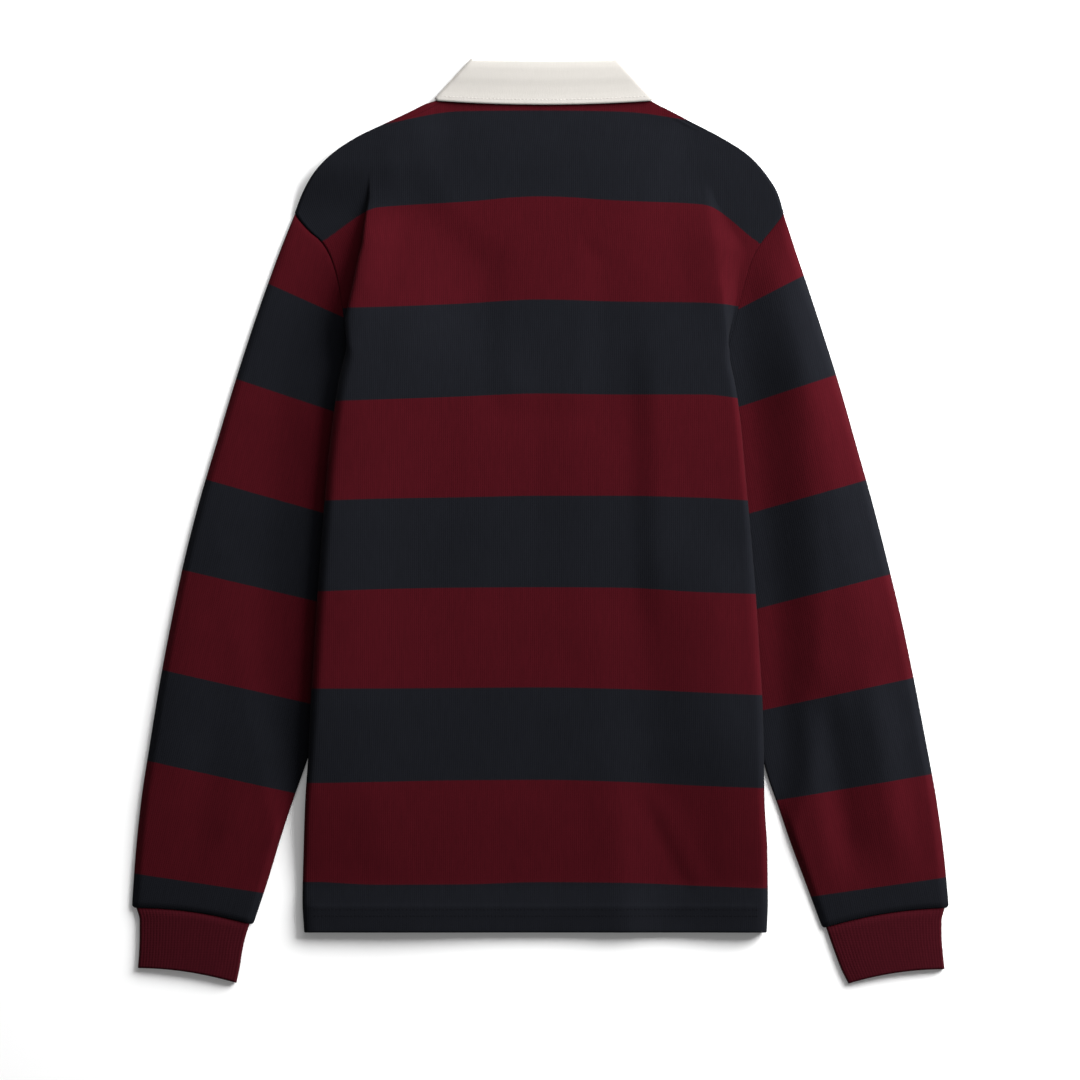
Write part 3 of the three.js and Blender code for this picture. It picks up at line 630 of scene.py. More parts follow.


# %% [markdown]
# ## Folds and fullness of the back
#
# A laid shirt is never dead flat. Air stays between the layers, the side edges stand up a little
# over the sleeves, and a few long soft ridges and troughs run down the cloth. Each one here is a
# line with a height and a width. A trough has a negative height, and a fold may fall away more
# slowly on its left side.

# %% Place the folds of the back
AIR = 2.6  # fullness between the front and the back
AIR_FADE = dict(hem=140.0, neck=70.0, shoulder=75.0)
MIDDLE_AIR = dict(rise=4.6, at_hem=2.6, reach=120.0)  # more of it between the turned sides
SHOULDER_FROM = 120.0  # above this the sides lie open, and the air fades out towards them
FOLD_FADE = 0.3  # share of its length over which a fold rises from nothing at each end
BACK_CLIMB = 110.0  # the back comes down from the sleeves and turned sides over this width
BACK_FOLDS = [
    dict(start=(73, 190), end=(81, -130), height=-1.8, left=60, width=27),
    dict(start=(99, 190), end=(107, -130), height=1.8, left=27, width=70),
    dict(start=(82, -30), end=(92, -240), height=-1.6, left=45, width=50),
    dict(start=(144, 0), end=(152, -240), height=3.4, left=62, width=46),
    dict(start=(58, -200), end=(70, -400), height=0.8, left=26, width=24),
    dict(start=(100, -190), end=(114, -400), height=-3.6, left=40, width=64),
    dict(start=(82, -236), end=(136, -336), height=-0.5, left=12, width=11),
    dict(start=(92, -220), end=(146, -336), height=0.6, left=11, width=18),
    dict(start=(-156, -200), end=(-124, -330), height=0.6, left=34, width=34),
    dict(start=(-225, -150), end=(-225, -500), height=-1.4, width=110),
]
SIDE_PUFF = dict(
    y=[300, 240, 180, 120, 40, -60, -160, -240, -300, -357.5],
    left=[0, 5.0, 8.2, 8.6, 8.6, 8.6, 7.5, 3.2, 0.4, 0],
    right=[0, 0.5, 1.0, 1.6, 1.6, 2.2, 2.8, 3.4, 3.2, 0.8],
)
PUFF_REACH = dict(left=110.0, right=60.0)
HEM_BAND = dict(depth=22.0, edge=4.0, front=0.65, back=2.4)
SHOULDER = dict(rise=7.5, from_x=-75.0, reach=60.0, from_y=264.0, climb=48.0)


def fold_rise(folds, x, y):
    total = np.zeros(np.shape(x))
    for fold in folds:
        (x0, y0), (x1, y1) = fold["start"], fold["end"]
        to_right = (x1 - x0) * (y - y0) > (y1 - y0) * (x - x0)
        width = np.where(to_right, fold["width"], fold.get("left", fold["width"]))
        distance = segment_distance(fold["start"], fold["end"], x, y)
        share = (y - y0) / (y1 - y0)
        fade = smooth(share / FOLD_FADE) * smooth((1 - share) / FOLD_FADE)
        total += fold["height"] * fade * (1 - smooth(distance / width))
    return total


def hem_share(y):
    """1 on the turned-up hem, 0 above it."""
    return 1 - smooth((y - HEM - HEM_BAND["depth"]) / HEM_BAND["edge"])


def hem_rise(y):
    """How much higher the back lies at the hem, where both panels are double."""
    return HEM_BAND["back"] * (1 - smooth((y - HEM) / HEM_BAND["depth"] - 1))


def side_rise(x, y, left_fold, right_fold):
    """The extra fullness along the side edges, and the step beside the shoulder blades."""
    total = 0
    for side, fold in (("left", left_fold), ("right", right_fold)):
        away = abs(x - fold)
        step = np.interp(-y, -np.array(STEP_RISE["y"]), STEP_RISE[side])
        puff = np.interp(-y, -np.array(SIDE_PUFF["y"]), SIDE_PUFF[side])
        total = total + step * (1 - smooth(away / STEP_REACH))
        total = total + puff * (1 - smooth(away / PUFF_REACH[side]))
    return total


def shoulder_rise(x, y):
    """The left shoulder stands a little off the floor."""
    across = smooth((SHOULDER["from_x"] - x) / SHOULDER["reach"])
    return SHOULDER["rise"] * across * smooth((y - SHOULDER["from_y"]) / SHOULDER["climb"])


def front_tail(x, y):
    return collar_lift(UNDER_FRONT, x, y) + shoulder_rise(x, y)


def front_main(x, y, left_fold, right_fold):
    climb = sleeve_lift(x, y, CLIMB["panel"]) + flap_lift(x, y, CLIMB["panel"])
    return front_tail(x, y) + climb * lifted(y) + HEM_BAND["front"] * hem_share(y)


def front_flap(x, y):
    return PITCH + sleeve_lift(x, y, CLIMB["flap"])


def back_tail(x, y):
    over_collar = collar_lift(UNDER_FRONT + [neck_outline()], x, y)
    return PITCH + over_collar + shoulder_rise(x, y)


def back_main(x, y, left_fold, right_fold):
    climb = (sleeve_lift(x, y, BACK_CLIMB) + flap_lift(x, y, BACK_CLIMB)) * lifted(y)
    low = smooth((SHOULDER_FROM - y) / MIDDLE_AIR["reach"] + 0.5)
    middle = mix(MIDDLE_AIR["at_hem"], MIDDLE_AIR["rise"], smooth((y - HEM) / MIDDLE_AIR["reach"]))
    climb = climb + middle * low * (1 - np.clip(climb / (4 * PITCH), 0, 1))
    inside = np.minimum(x - left_fold, right_fold - x) / AIR_FADE["shoulder"]
    held = mix(smooth(inside), 1, smooth((SHOULDER_FROM - y) / AIR_FADE["shoulder"] + 1))
    air = AIR * held
    air = air * smooth((y - HEM) / AIR_FADE["hem"]) * smooth((NECK_TOP - y) / AIR_FADE["neck"])
    full = air + side_rise(x, y, left_fold, right_fold) + fold_rise(BACK_FOLDS, x, y)
    return back_tail(x, y) + climb + full + hem_rise(y)


def back_flap(x, y):
    return sleeve_lift(x, y, CLIMB["flap"])


print("folds of the back:", len(BACK_FOLDS))

# %% [markdown]
# ## Stripes
#
# A stripe edge is a course of the knit. On the body each edge is measured at seven places across,
# and it dips where the cloth runs down over the shoulder blades to the armholes. On a sleeve an edge
# is close to a straight line across, so one place and a slope give it.

# %% Place the stripe edges
EDGE_PLACES = [-190, -140, -70, 0, 70, 140, 190]
BODY_EDGES = [
    [337, 343, 354.9, 355.6, 354.6, 345.5, 339],
    [241, 271.6, 276.2, 281.2, 277.5, 274.3, 240.1],
    [184, 184.9, 187.9, 191.6, 189.7, 188.8, 184],
    [103.1, 104.8, 107.4, 110.1, 109.2, 109.2, 103.1],
    [17, 18.7, 20, 21.3, 21.3, 19.6, 16.5],
    [-61.3, -59.6, -58.3, -57.9, -58.3, -62.2, -63.9],
    [-145.7, -145.7, -145.3, -144.9, -146.2, -149.2, -151.4],
    [-227.5, -226.6, -225.3, -224.9, -226.6, -230.1, -231.9],
    [-313.6, -316, -315.8, -313.8, -314.3, -317.1, -318.9],
]
SLEEVE_EDGES = {
    "left": [
        dict(at=(-234.7, 204.9), slope=-0.449),
        dict(at=(-252.1, 118.8), slope=-0.333),
        dict(at=(-250, 24), slope=-0.285),
        dict(at=(-265, -53.5), slope=-0.235),
        dict(at=(-270, -143), slope=-0.228),
        dict(at=(-275, -223), slope=-0.222),
        dict(at=(-295, -315), slope=-0.15),
    ],
    "right": [
        dict(at=(200.3, 197.9), slope=0.517),
        dict(at=(217.7, 113.5), slope=0.33),
        dict(at=(235.1, 21.3), slope=0.285),
        dict(at=(243.8, -62.2), slope=0.26),
        dict(at=(261.2, -150.1), slope=0.215),
        dict(at=(269.9, -231.9), slope=0.17),
        dict(at=(287.3, -318.9), slope=0.142),
    ],
}


def order_between(edges, y):
    """The place in the order of stripes, from the heights of the edges above and below."""
    order = (edges[0] - y) / STRIPE_HEIGHT
    for k in range(len(edges) - 1):
        share = (edges[k] - y) / (edges[k] - edges[k + 1])
        order = np.where(y <= edges[k], k + share, order)
    last = len(edges) - 1
    return np.where(y <= edges[last], last + (edges[last] - y) / STRIPE_HEIGHT, order)


def body_order(x, y):
    x = np.clip(x, EDGE_PLACES[0], EDGE_PLACES[-1])
    return order_between([through(EDGE_PLACES, edge, x) for edge in BODY_EDGES], y)


def sleeve_order(side, x, y):
    edges = [e["at"][1] + e["slope"] * (x - e["at"][0]) for e in SLEEVE_EDGES[side]]
    return order_between(edges, y)


print("stripe edges on the body:", len(BODY_EDGES))

# %% [markdown]
# ## Cloth from a grid
#
# A laid sheet is a grid of squares whose crossings are moved to their places. Blender's own grid
# operator makes the squares, and arrays give each crossing its place, its spot on the weave and its
# place in the order of stripes. Solidify then gives the sheet its thickness.

# %% Define the cloth maker

def bent_grid(name, points, weave, order=None, closed=False, hole=None, doubled=None):
    """A sheet whose crossings lie at points[row, column], in millimetres."""
    rows, columns = points.shape[:2]
    mesh = bpy.data.meshes.new(name)
    bm = bmesh.new()
    bmesh.ops.create_grid(bm, x_segments=columns - 1, y_segments=rows - 1, size=0.5)
    bm.to_mesh(mesh)
    bm.free()
    flat = np.empty(len(mesh.vertices) * 3)
    mesh.vertices.foreach_get("co", flat)
    column = np.rint((flat[0::3] + 0.5) * (columns - 1)).astype(int)
    row = np.rint((flat[1::3] + 0.5) * (rows - 1)).astype(int)
    mesh.vertices.foreach_set("co", (points[row, column] * MM).ravel())
    corner = np.empty(len(mesh.loops), int)
    mesh.loops.foreach_get("vertex_index", corner)
    spots = weave[row, column][corner] * MM
    mesh.uv_layers.new(name="weave").data.foreach_set("uv", spots.ravel())
    if order is not None:
        stripe = mesh.attributes.new("stripe", "FLOAT", "POINT")
        stripe.data.foreach_set("value", order[row, column])
    if doubled is not None:
        layers = mesh.attributes.new("doubled", "FLOAT", "POINT")
        layers.data.foreach_set("value", doubled[row, column])
    bm = bmesh.new()
    bm.from_mesh(mesh)
    if hole is not None:
        gone = hole[row, column]
        faces = [f for f in bm.faces if all(gone[v.index] for v in f.verts)]
        bmesh.ops.delete(bm, geom=faces, context="FACES")
    if closed:
        bmesh.ops.remove_doubles(bm, verts=bm.verts, dist=0.00002)
    bmesh.ops.recalc_face_normals(bm, faces=bm.faces)
    bm.to_mesh(mesh)
    bm.free()
    return mesh


def group_by_layers(piece):
    """A vertex group that makes the wall half as thick where the cloth is single."""
    share = np.empty(len(piece.data.vertices))
    piece.data.attributes["doubled"].data.foreach_get("value", share)
    share = np.round(share, 2)
    group = piece.vertex_groups.new(name="layers")
    for value in np.unique(share):
        group.add(np.flatnonzero(share == value).tolist(), float(value), "REPLACE")
    return group


def finish_piece(name, mesh, slot, nodes, thickness=None):
    """Puts a mesh in the scene as a finished piece of one material."""
    mesh.materials.append(MATERIALS[slot])
    mesh.shade_smooth()
    piece = bpy.data.objects.new(name, mesh)
    bpy.context.scene.collection.objects.link(piece)
    if thickness:
        wall = piece.modifiers.new("thickness", "SOLIDIFY")
        wall.thickness = thickness * MM
        wall.offset = 0
        if "doubled" in mesh.attributes:
            wall.vertex_group = group_by_layers(piece).name
    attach(piece, "root")
    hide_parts(*nodes)
    print(f"{name}: {len(mesh.polygons)} faces before thickness")
    return piece


def path_length(points):
    """Distance along each row of points from the row's middle."""
    steps = np.linalg.norm(np.diff(points, axis=1), axis=2)
    run = np.concatenate([np.zeros((len(points), 1)), np.cumsum(steps, axis=1)], axis=1)
    return run - run[:, [run.shape[1] // 2]]


# %% [markdown]
# ## Front and back
#
# Both panels run from the middle to the fold, round it, and on. Where a side lies open the cloth
# takes a soft step down and ends at the shoulder line or armhole. Where it is turned under it goes
# round in a half circle and comes back below, over the sleeve. One row of the grid is one such
# path, and the two shapes are blended over the few rows between them. On the left shoulder the back
# leans out over the foot of its step, so the fold there is deep and dark.

# %% Make the panels
FINE_ROW = 2.6
COARSE_ROW = 4.4
HEM_ROWS = [0, 0.4, 0.9, 1.6, 3, 6, 9, 12, 15, 18, 20, 21.5, 22.5, 23.5, 24.5, 26]
ACROSS_STEPS = 92
ROLL_STEPS = 12
TAIL_STEPS = 16
BACK_ROWS_FROM = 325.0
SIDE_TAPER = 12.0  # the hem is thinner within this of a side fold
HEM_LEAST = 0.35  # share of the wall that is left at the rounded edge of the hem
HOLE_BEYOND = 6.0  # how far the neck hole's search reaches past the seam
OPEN_STEP = dict(least=(2.5, 5.0), slope=(0.12, 3.0), share=0.8)  # its width, left and right
OVERHANG = dict(share=0.32, least_drop=4.0)  # the left step of the back leans out over its foot


def panel_rows():
    hem = HEM + np.array(HEM_ROWS)
    low = np.arange(hem[-1] + COARSE_ROW, BACK_ROWS_FROM, COARSE_ROW)
    high = np.arange(BACK_ROWS_FROM, NECK_TOP, FINE_ROW)
    return np.concatenate([hem, low, high, [NECK_TOP]])[:, None]


def hem_layers(x, y, left, right):
    """The wall's share of its double thickness: whole on the hem's band, half elsewhere."""
    across = smooth((x - left) / SIDE_TAPER) * smooth((right - x) / SIDE_TAPER)
    depth = np.clip((y - HEM) / JERSEY, 0, 1)
    rounded = np.clip(np.sqrt(1 - (1 - depth) ** 2), HEM_LEAST, 1)
    return (0.5 + 0.5 * hem_share(y) * across) * rounded


def side_path(way, y, fold, end, turn, folds, layer):
    """The path from the last point of the main cloth to the end of one side."""
    main, tail, flap = layer["main"], layer["tail"], layer["flap"]
    t = np.arange(1, ROLL_STEPS + 1) / ROLL_STEPS
    s = np.arange(1, TAIL_STEPS + 1) / TAIL_STEPS
    open_fold = fold - way * layer["inset"]
    top = main(open_fold, y, *folds)
    drop = top - tail(open_fold, y)
    right = int(way > 0)
    width = OPEN_STEP["least"][right] + OPEN_STEP["slope"][right] * drop
    width = np.minimum(width, OPEN_STEP["share"] * abs(end - open_fold))
    open_x = np.concatenate(
        [open_fold + way * width * t, mix(open_fold + way * width, end, s)], axis=1
    )
    if way < 0 and layer["leans"]:
        lean = OVERHANG["share"] * np.maximum(drop - OVERHANG["least_drop"], 0)
        open_x[:, :ROLL_STEPS] += way * lean * (np.sin(2 * math.pi * t) - np.sin(math.pi * t / 2))
        open_x[:, ROLL_STEPS:] -= way * lean * (1 - s)
        open_x[:, ROLL_STEPS:] = np.maximum(open_x[:, ROLL_STEPS:], end)
    beyond = tail(open_x[:, ROLL_STEPS:], y + 0 * s)
    open_z = np.concatenate([top - drop * smooth(t), beyond], axis=1)

    back_top = back_main(fold, y, *folds)
    radius_back = (back_top - back_flap(fold, y)) / 2
    centre = fold - way * (radius_back + JERSEY / 2)
    top_z, bottom_z = main(fold, y, *folds), flap(fold, y)
    radius = (top_z - bottom_z) / 2
    angle = math.pi / 2 - math.pi * t
    under_x = mix(centre, end, s)
    turned_x = np.concatenate([centre + way * radius * np.cos(angle), under_x], axis=1)
    turned_z = np.concatenate(
        [(top_z + bottom_z) / 2 + radius * np.sin(angle), flap(under_x, y + 0 * s)], axis=1
    )
    share = smooth(turn)
    inner = mix(open_fold, centre, share)
    return inner, mix(open_x, turned_x, share), mix(open_z, turned_z, share)


def neck_seam(knots):
    """Height of the neck seam over a place across, and whether it reaches that far."""
    xs, ys = zip(*knots)

    def seam(x):
        return through(xs, ys, np.clip(abs(x - COLLAR_X), xs[0], xs[-1]))

    return seam, xs[-1]


SLANT = np.array(SIDE_EDGE) - np.array(SIDE_ROLL)
SLANT = SLANT / np.linalg.norm(SLANT)
OUTWARD = np.array([-SLANT[1], SLANT[0]])
RING_RADIUS = 1.5 * PITCH


def ring_corner(share):
    """Where the flattened collar's half round begins, at a share of the way down its side."""
    point = mix(np.array(SIDE_ROLL), np.array(SIDE_EDGE), np.asarray(share)[..., None])
    return point - OUTWARD * (RING_RADIUS + TWILL / 2)


SEAM_CORNER = ring_corner(SIDE_SEAM)
BACK_SEAM = [
    (SEAM_CORNER[0] * t, mix(BACK_SEAM_Y, SEAM_CORNER[1], t * t) - SEAM_GAP)
    for t in (0, 0.25, 0.5, 0.75, 1)
]
FRONT_SEAM = [(x + SEAM_GAP, y - SEAM_GAP) for x, y in zip(STAND["edge_x"], STAND["edge_y"])]
FRONT_SEAM.append((SEAM_CORNER[0] + SEAM_GAP, SEAM_CORNER[1] - SEAM_GAP))


def make_panel(name, layer, seam_points):
    """One panel of the body, made for the frame's node of that name."""
    y = panel_rows()
    left_fold, right_fold = body_line("left_fold", y), body_line("right_fold", y)
    turn = np.interp(-y, -np.array(BODY["y"]), BODY["turn"])
    folds = (left_fold, right_fold)
    left = side_path(-1, y, left_fold, body_line("left_end", y), turn, folds, layer)
    right = side_path(1, y, right_fold, body_line("right_end", y), turn, folds, layer)
    across = mix(left[0], right[0], np.linspace(0, 1, ACROSS_STEPS + 1))
    x = np.concatenate([left[1][:, ::-1], across, right[1]], axis=1)
    middle = layer["main"](across, y + 0 * across, *folds)
    z = np.concatenate([left[2][:, ::-1], middle, right[2]], axis=1)
    seam, reach = neck_seam(seam_points)
    lowest = seam(x)
    y = y + 0 * x
    hole = (abs(x - COLLAR_X) < reach + HOLE_BEYOND) & (y > lowest)
    y = np.where(hole, lowest, y)
    points = np.stack([x, y, z + JERSEY / 2], axis=2)
    weave = np.stack([path_length(points), y], axis=2)
    doubled = hem_layers(x, y, left_fold, right_fold)
    doubled[:, :ROLL_STEPS + TAIL_STEPS] = np.minimum(doubled[:, :ROLL_STEPS + TAIL_STEPS], 0.5)
    doubled[:, -ROLL_STEPS - TAIL_STEPS:] = np.minimum(doubled[:, -ROLL_STEPS - TAIL_STEPS:], 0.5)
    mesh = bent_grid(name, points, weave, body_order(x, y), hole=hole, doubled=doubled)
    return finish_piece(name + "_panel", mesh, "striped_jersey", [name], 2 * (JERSEY - 0.1))


BACK_LAYER = dict(main=back_main, tail=back_tail, flap=back_flap, inset=0.0, leans=True)
FRONT_LAYER = dict(main=front_main, tail=front_tail, flap=front_flap, inset=7.0, leans=False)
back = make_panel("back", BACK_LAYER, BACK_SEAM)
front = make_panel("front", FRONT_LAYER, FRONT_SEAM)

# %% [markdown]
# ## Sleeves
#
# A sleeve is a tube that lies flat: a lower layer on the floor, an upper one that keeps some air
# under it, and a soft roll at each edge. Where the body lies on it the air is pressed out, so the
# upper layer comes down towards the body's edge. On the right sleeve two long folds run down it.

# %% Make the sleeves
SLEEVE_FOLDS = {
    "left": [
        dict(start=(-296, -30), end=(-324, -270), height=0.8, width=34),
        dict(start=(-255, -230), end=(-299, -340), height=1.0, width=24),
        dict(start=(-279, -160), end=(-303, -310), height=-0.8, width=24),
    ],
    "right": [
        dict(start=(239, -120), end=(278, -345), height=-4.0, width=24),
        dict(start=(282, -110), end=(317, -345), height=3.0, width=24),
    ],
}
SLEEVE_SECTION = [0, 1, 3, 6, 9, 11, 13]
SLEEVE_SHAPE = {
    "left": dict(
        rise=[0, 1.6, 2.6, 3.4, 4.5, 4.5, 2.8],
        pressed=[20, 26, 30, 26, 8, 0, -4],
        free=[80, 90, 100, 100, 50, 24, 16],
        slope=[20, 24, 28, 28, 28, 28, 28],
        edge=[0.6, 0.7, 0.85, 0.9, 0.9, 0.9, 0.8],
    ),
    "right": dict(
        rise=[0, 5.5, 14.0, 12.5, 8.5, 6.5, 2.8],
        pressed=[6, 5, 7, 12, 12, 0, -4],
        free=[40, 50, 62, 62, 52, 22, 16],
        slope=[24, 30, 36, 50, 50, 40, 28],
        edge=[0.6, 0.42, 0.25, 0.28, 0.42, 0.6, 0.8],
    ),
}
CREVICE = dict(rise=3.0, peak=12.0, reach=40.0)  # the left sleeve slopes down from the body's edge
EDGE_ROUND = 7.0  # width of the rounded edge of a sleeve
SLEEVE_ROWS = 150
FREE_FROM = 9.0  # section from which a sleeve lies clear of the body
END_OVER = 1.3  # how far the end of a sleeve hangs over the cuff
END_TURN = 0.9
SEAM_TUCK = 0.5  # how far a sleeve goes in under the body at the armhole
SEAM_SINK = {"left": 0.7, "right": 0.25}  # how deep the armhole seams lie
SEAM_REACH = 0.14  # in sections, how soon the sleeve is back at its height
SEAM_FADE = 7  # section by which a row of the sleeve no longer follows the armhole
FOLD_EDGE = 0.12  # share of the width in which a fold dies out towards a sleeve's edge
BELOW_HEM = 25.0  # clearance that a place below the hem starts with
TOP_STEPS = 46
EDGE_STEPS = 7
FLOOR_STEPS = 30


def armhole(side):
    """The armhole from the outline to the armpit, as the sleeve's first row."""
    way = -1 if side == "left" else 1
    y = np.linspace(ARMHOLE_TOP, ARMPIT, 60)
    x = body_line(side + "_end", y)
    return np.stack([x - way * SEAM_TUCK, y + SEAM_TUCK], axis=1)


def along_line(points, share):
    steps = np.linalg.norm(np.diff(points, axis=0), axis=1)
    run = np.concatenate([[0], np.cumsum(steps)])
    run = run / run[-1]
    return np.stack([np.interp(share, run, column) for column in points.T], axis=-1)


def table_at(table, i):
    knots = np.arange(len(table["outer_x"]))
    return {name: through(knots, values, i) for name, values in table.items()}


def plan_points(table, i, share):
    """Places in plan at section i, a share of the way from the outer to the inner edge."""
    row = table_at(table, i)
    x = mix(row["outer_x"], row["inner_x"], share)
    y = mix(row["outer_y"], row["inner_y"], share)
    return np.stack([x, y], axis=-1)


def sleeve_plan(side, i, share):
    table = SLEEVES[side]
    last = len(table["outer_x"]) - 1
    point = plan_points(table, i, share)
    seam = along_line(armhole(side), share)
    first = plan_points(table, 0 * i, share)
    fade = np.clip(1 - i / SEAM_FADE, 0, 1) ** 2
    point = point + (seam - first) * fade[..., None]
    bow = SLEEVE_BOW * smooth((i - last + 4) / 4) * 4 * share * (1 - share)
    return point + np.stack([0 * bow, bow], axis=-1)


def flat_tube(plan, lift, rows, radius, wall, steps):
    """Points round a flattened tube: over the top, round the inner edge, below, and round."""
    top_steps, edge_steps, floor_steps = steps
    outer, inner = plan(rows, 0 * rows), plan(rows, 0 * rows + 1)
    width = np.linalg.norm(inner - outer, axis=2)
    trim = (radius + wall / 2) / width
    centre = radius + wall / 2
    wave = (1 - np.cos(np.linspace(0, math.pi, top_steps + 1))) / 2
    even = np.linspace(0, 1, top_steps + 1)
    top_share = mix(trim, 1 - trim, mix(wave, even, 0.4))
    floor_share = mix(1 - trim, trim, np.linspace(0, 1, floor_steps + 1))
    over, under = plan(rows + 0 * top_share, top_share), plan(rows + 0 * floor_share, floor_share)
    rise = lift(rows + 0 * top_share, top_share, over[..., 0], over[..., 1])
    over = np.dstack([over, centre + radius + rise])
    under = np.dstack([under, centre - radius + 0 * floor_share])
    direction = (inner - outer) / width[..., None]
    angle = math.pi / 2 - math.pi * np.arange(1, edge_steps) / edge_steps

    def edge(share, way, turn):
        spot = plan(rows + 0 * turn, share + 0 * turn)
        reach = spot + way * direction * (radius * np.cos(turn))[None, :, None]
        return np.dstack([reach, centre + radius * np.sin(turn) + 0 * share])

    inner_edge = edge(1 - trim, 1, angle)
    outer_edge = edge(trim, -1, -angle)
    ring = np.concatenate([over, inner_edge, under, outer_edge, over[:, :1]], axis=1)
    return ring


def body_clearance(side, x, y):
    """How far a place lies outside the body's side edge."""
    way = -1 if side == "left" else 1
    turned = np.clip(y, HEM, ARMHOLE_TOP)
    out = way * (x - body_line(side + "_fold", turned))
    below = np.clip(HEM - y, 0, None)
    return np.where(y < HEM, np.hypot(np.clip(out, 0, None), below) + BELOW_HEM, out)


def turned_end(points):
    """The sleeve's end, gathered into the cuff: it hangs a little over the cuff and turns in."""
    over = points[:1].copy()
    high = smooth((over[..., 2] - PITCH) / PITCH)
    over[..., 1] -= END_OVER * high
    turned = over.copy()
    turned[..., 1] -= END_OVER * 0.3 * high
    turned[..., 2] -= END_TURN * high
    return np.concatenate([turned, over - [0, 0, 0.15], points[1:]])


def make_sleeve(side):
    last = len(SLEEVES[side]["outer_x"]) - 1
    rows = np.linspace(last, 0, SLEEVE_ROWS)[:, None]

    def plan(i, share):
        return sleeve_plan(side, i, share)

    def lift(i, share, x, y):
        shape = {k: np.interp(i, SLEEVE_SECTION, v) for k, v in SLEEVE_SHAPE[side].items()}
        clear = body_clearance(side, x, y)
        free = smooth((clear - shape["pressed"]) / (shape["free"] - shape["pressed"]))
        width = np.hypot(*np.moveaxis(plan(i, 0 * share) - plan(i, 0 * share + 1), -1, 0))
        sides = 1
        for inwards in (share * width, (1 - share) * width):
            sloped = smooth(inwards / shape["slope"] / 2 + 0.5) * 2 - 1
            quick = np.where(inwards > width / 2, 1, smooth(inwards / EDGE_ROUND))
            sides = sides * mix(sloped, quick, shape["edge"])
        window = smooth(share / FOLD_EDGE) * smooth((1 - share) / FOLD_EDGE)
        fold = fold_rise(SLEEVE_FOLDS[side], x, y) * window
        fold = fold * smooth(i / 2) * smooth((last - i) / 2)
        sink = SEAM_SINK[side] * (1 - smooth(i / SEAM_REACH))
        slope = 0
        if side == "left":
            near = smooth(clear / CREVICE["peak"] / 2 + 0.5)
            gone = smooth((clear - CREVICE["peak"]) / CREVICE["reach"])
            slope = CREVICE["rise"] * near * (1 - gone)
            slope = slope * smooth((i - 1) / 2) * smooth((FREE_FROM - i) / 2) * sides
        return np.maximum(shape["rise"] * sides + fold, 0) * free + slope - sink

    steps = (TOP_STEPS, EDGE_STEPS, FLOOR_STEPS)
    points = flat_tube(plan, lift, rows, PITCH / 2, JERSEY, steps)
    points = turned_end(points)
    x, y = points[..., 0], points[..., 1]
    order = sleeve_order(side, x, y)
    lean = -0.24 if side == "left" else 0.22
    weave = np.stack([(x + lean * y) / math.hypot(1, lean), -order * STRIPE_HEIGHT], axis=2)
    mesh = bent_grid("sleeve_" + side, points, weave, order, closed=True)
    name = side + "_sleeve"
    return finish_piece(name, mesh, "striped_jersey", ["sleeve_" + side], JERSEY - 0.1)


sleeves = {side: make_sleeve(side) for side in SLEEVES}

# %% [markdown]
# ## Cuffs
#
# A cuff is a short tube of rib: columns of knit stand up between sunk ones, so it grips the wrist
# and pulls in from the sleeve's edges. The ribs are about three millimetres apart, which a grid with
# six points to a rib shows as real relief.

# %% Make the cuffs
CUFF_BOW = 3.2  # how far the open end bows towards the sleeve
RIB_PITCH = 2.7
RIB_DEPTH = 0.16
CUFF_AIR = 1.6
CUFF_EDGE_AIR = 0.5
CUFF_ROUND = 0.03  # share of the width that the rounded edge takes
CUFF_ROWS = 26
CUFF_STEPS = (180, 7, 180)


def cuff_table(side):
    """The cuff's sections, with a first one that starts at the sleeve's last."""
    sleeve, table = SLEEVES[side], CUFFS[side]
    outer = np.array([sleeve["outer_x"][-1], sleeve["outer_y"][-1]])
    inner = np.array([sleeve["inner_x"][-1], sleeve["inner_y"][-1]])
    inset = (inner - outer) / np.linalg.norm(inner - outer) * CUFF_INSET
    first_outer, first_inner = outer + inset, inner - inset
    first = dict(
        outer_x=first_outer[0],
        outer_y=first_outer[1] - SEAM_GAP,
        inner_x=first_inner[0],
        inner_y=first_inner[1] - SEAM_GAP,
    )
    return {name: [first[name]] + table[name] for name in first}


def make_cuff(side):
    table = cuff_table(side)
    last = len(table["outer_x"]) - 1
    rows = np.linspace(last, 0, CUFF_ROWS)[:, None]

    def plan(i, share):
        point = plan_points(table, i, share)
        bow = mix(SLEEVE_BOW, CUFF_BOW, i / last) * 4 * share * (1 - share)
        return point + np.stack([0 * bow, bow], axis=-1)

    def rib_wave(share):
        width = abs(table["inner_x"][1] - table["outer_x"][1])
        return np.cos(share * width / RIB_PITCH * 2 * math.pi) * RIB_DEPTH / 2

    def lift(i, share, x, y):
        body = CUFF_AIR * (1 - abs(1 - 2 * share) ** 3) + CUFF_EDGE_AIR
        body = body * mix(0.1, 1, smooth(i / 0.5))
        ends = smooth(share / CUFF_ROUND) * smooth((1 - share) / CUFF_ROUND)
        return body * ends + rib_wave(share)

    points = flat_tube(plan, lift, rows, (RIB + SEAM_GAP) / 2, RIB, CUFF_STEPS)
    across = path_length(points)
    weave = np.stack([across, points[..., 1]], axis=2)
    mesh = bent_grid("cuff_" + side, points, weave, closed=True)
    return finish_piece(side + "_cuff", mesh, "burgundy_rib", ["cuff_" + side], RIB - 0.4)


cuffs = {side: make_cuff(side) for side in CUFFS}

# %% [markdown]
# ## Collar
#
# The collar is one folded band of twill: the fall shows, it rolls over at the top, and the stand
# goes back down inside to the neck seam. Laid down, the ring is pressed flat, so its front leaves
# lie on the floor and its back lies on top. One grid follows the fall up, the roll over and the
# stand down.

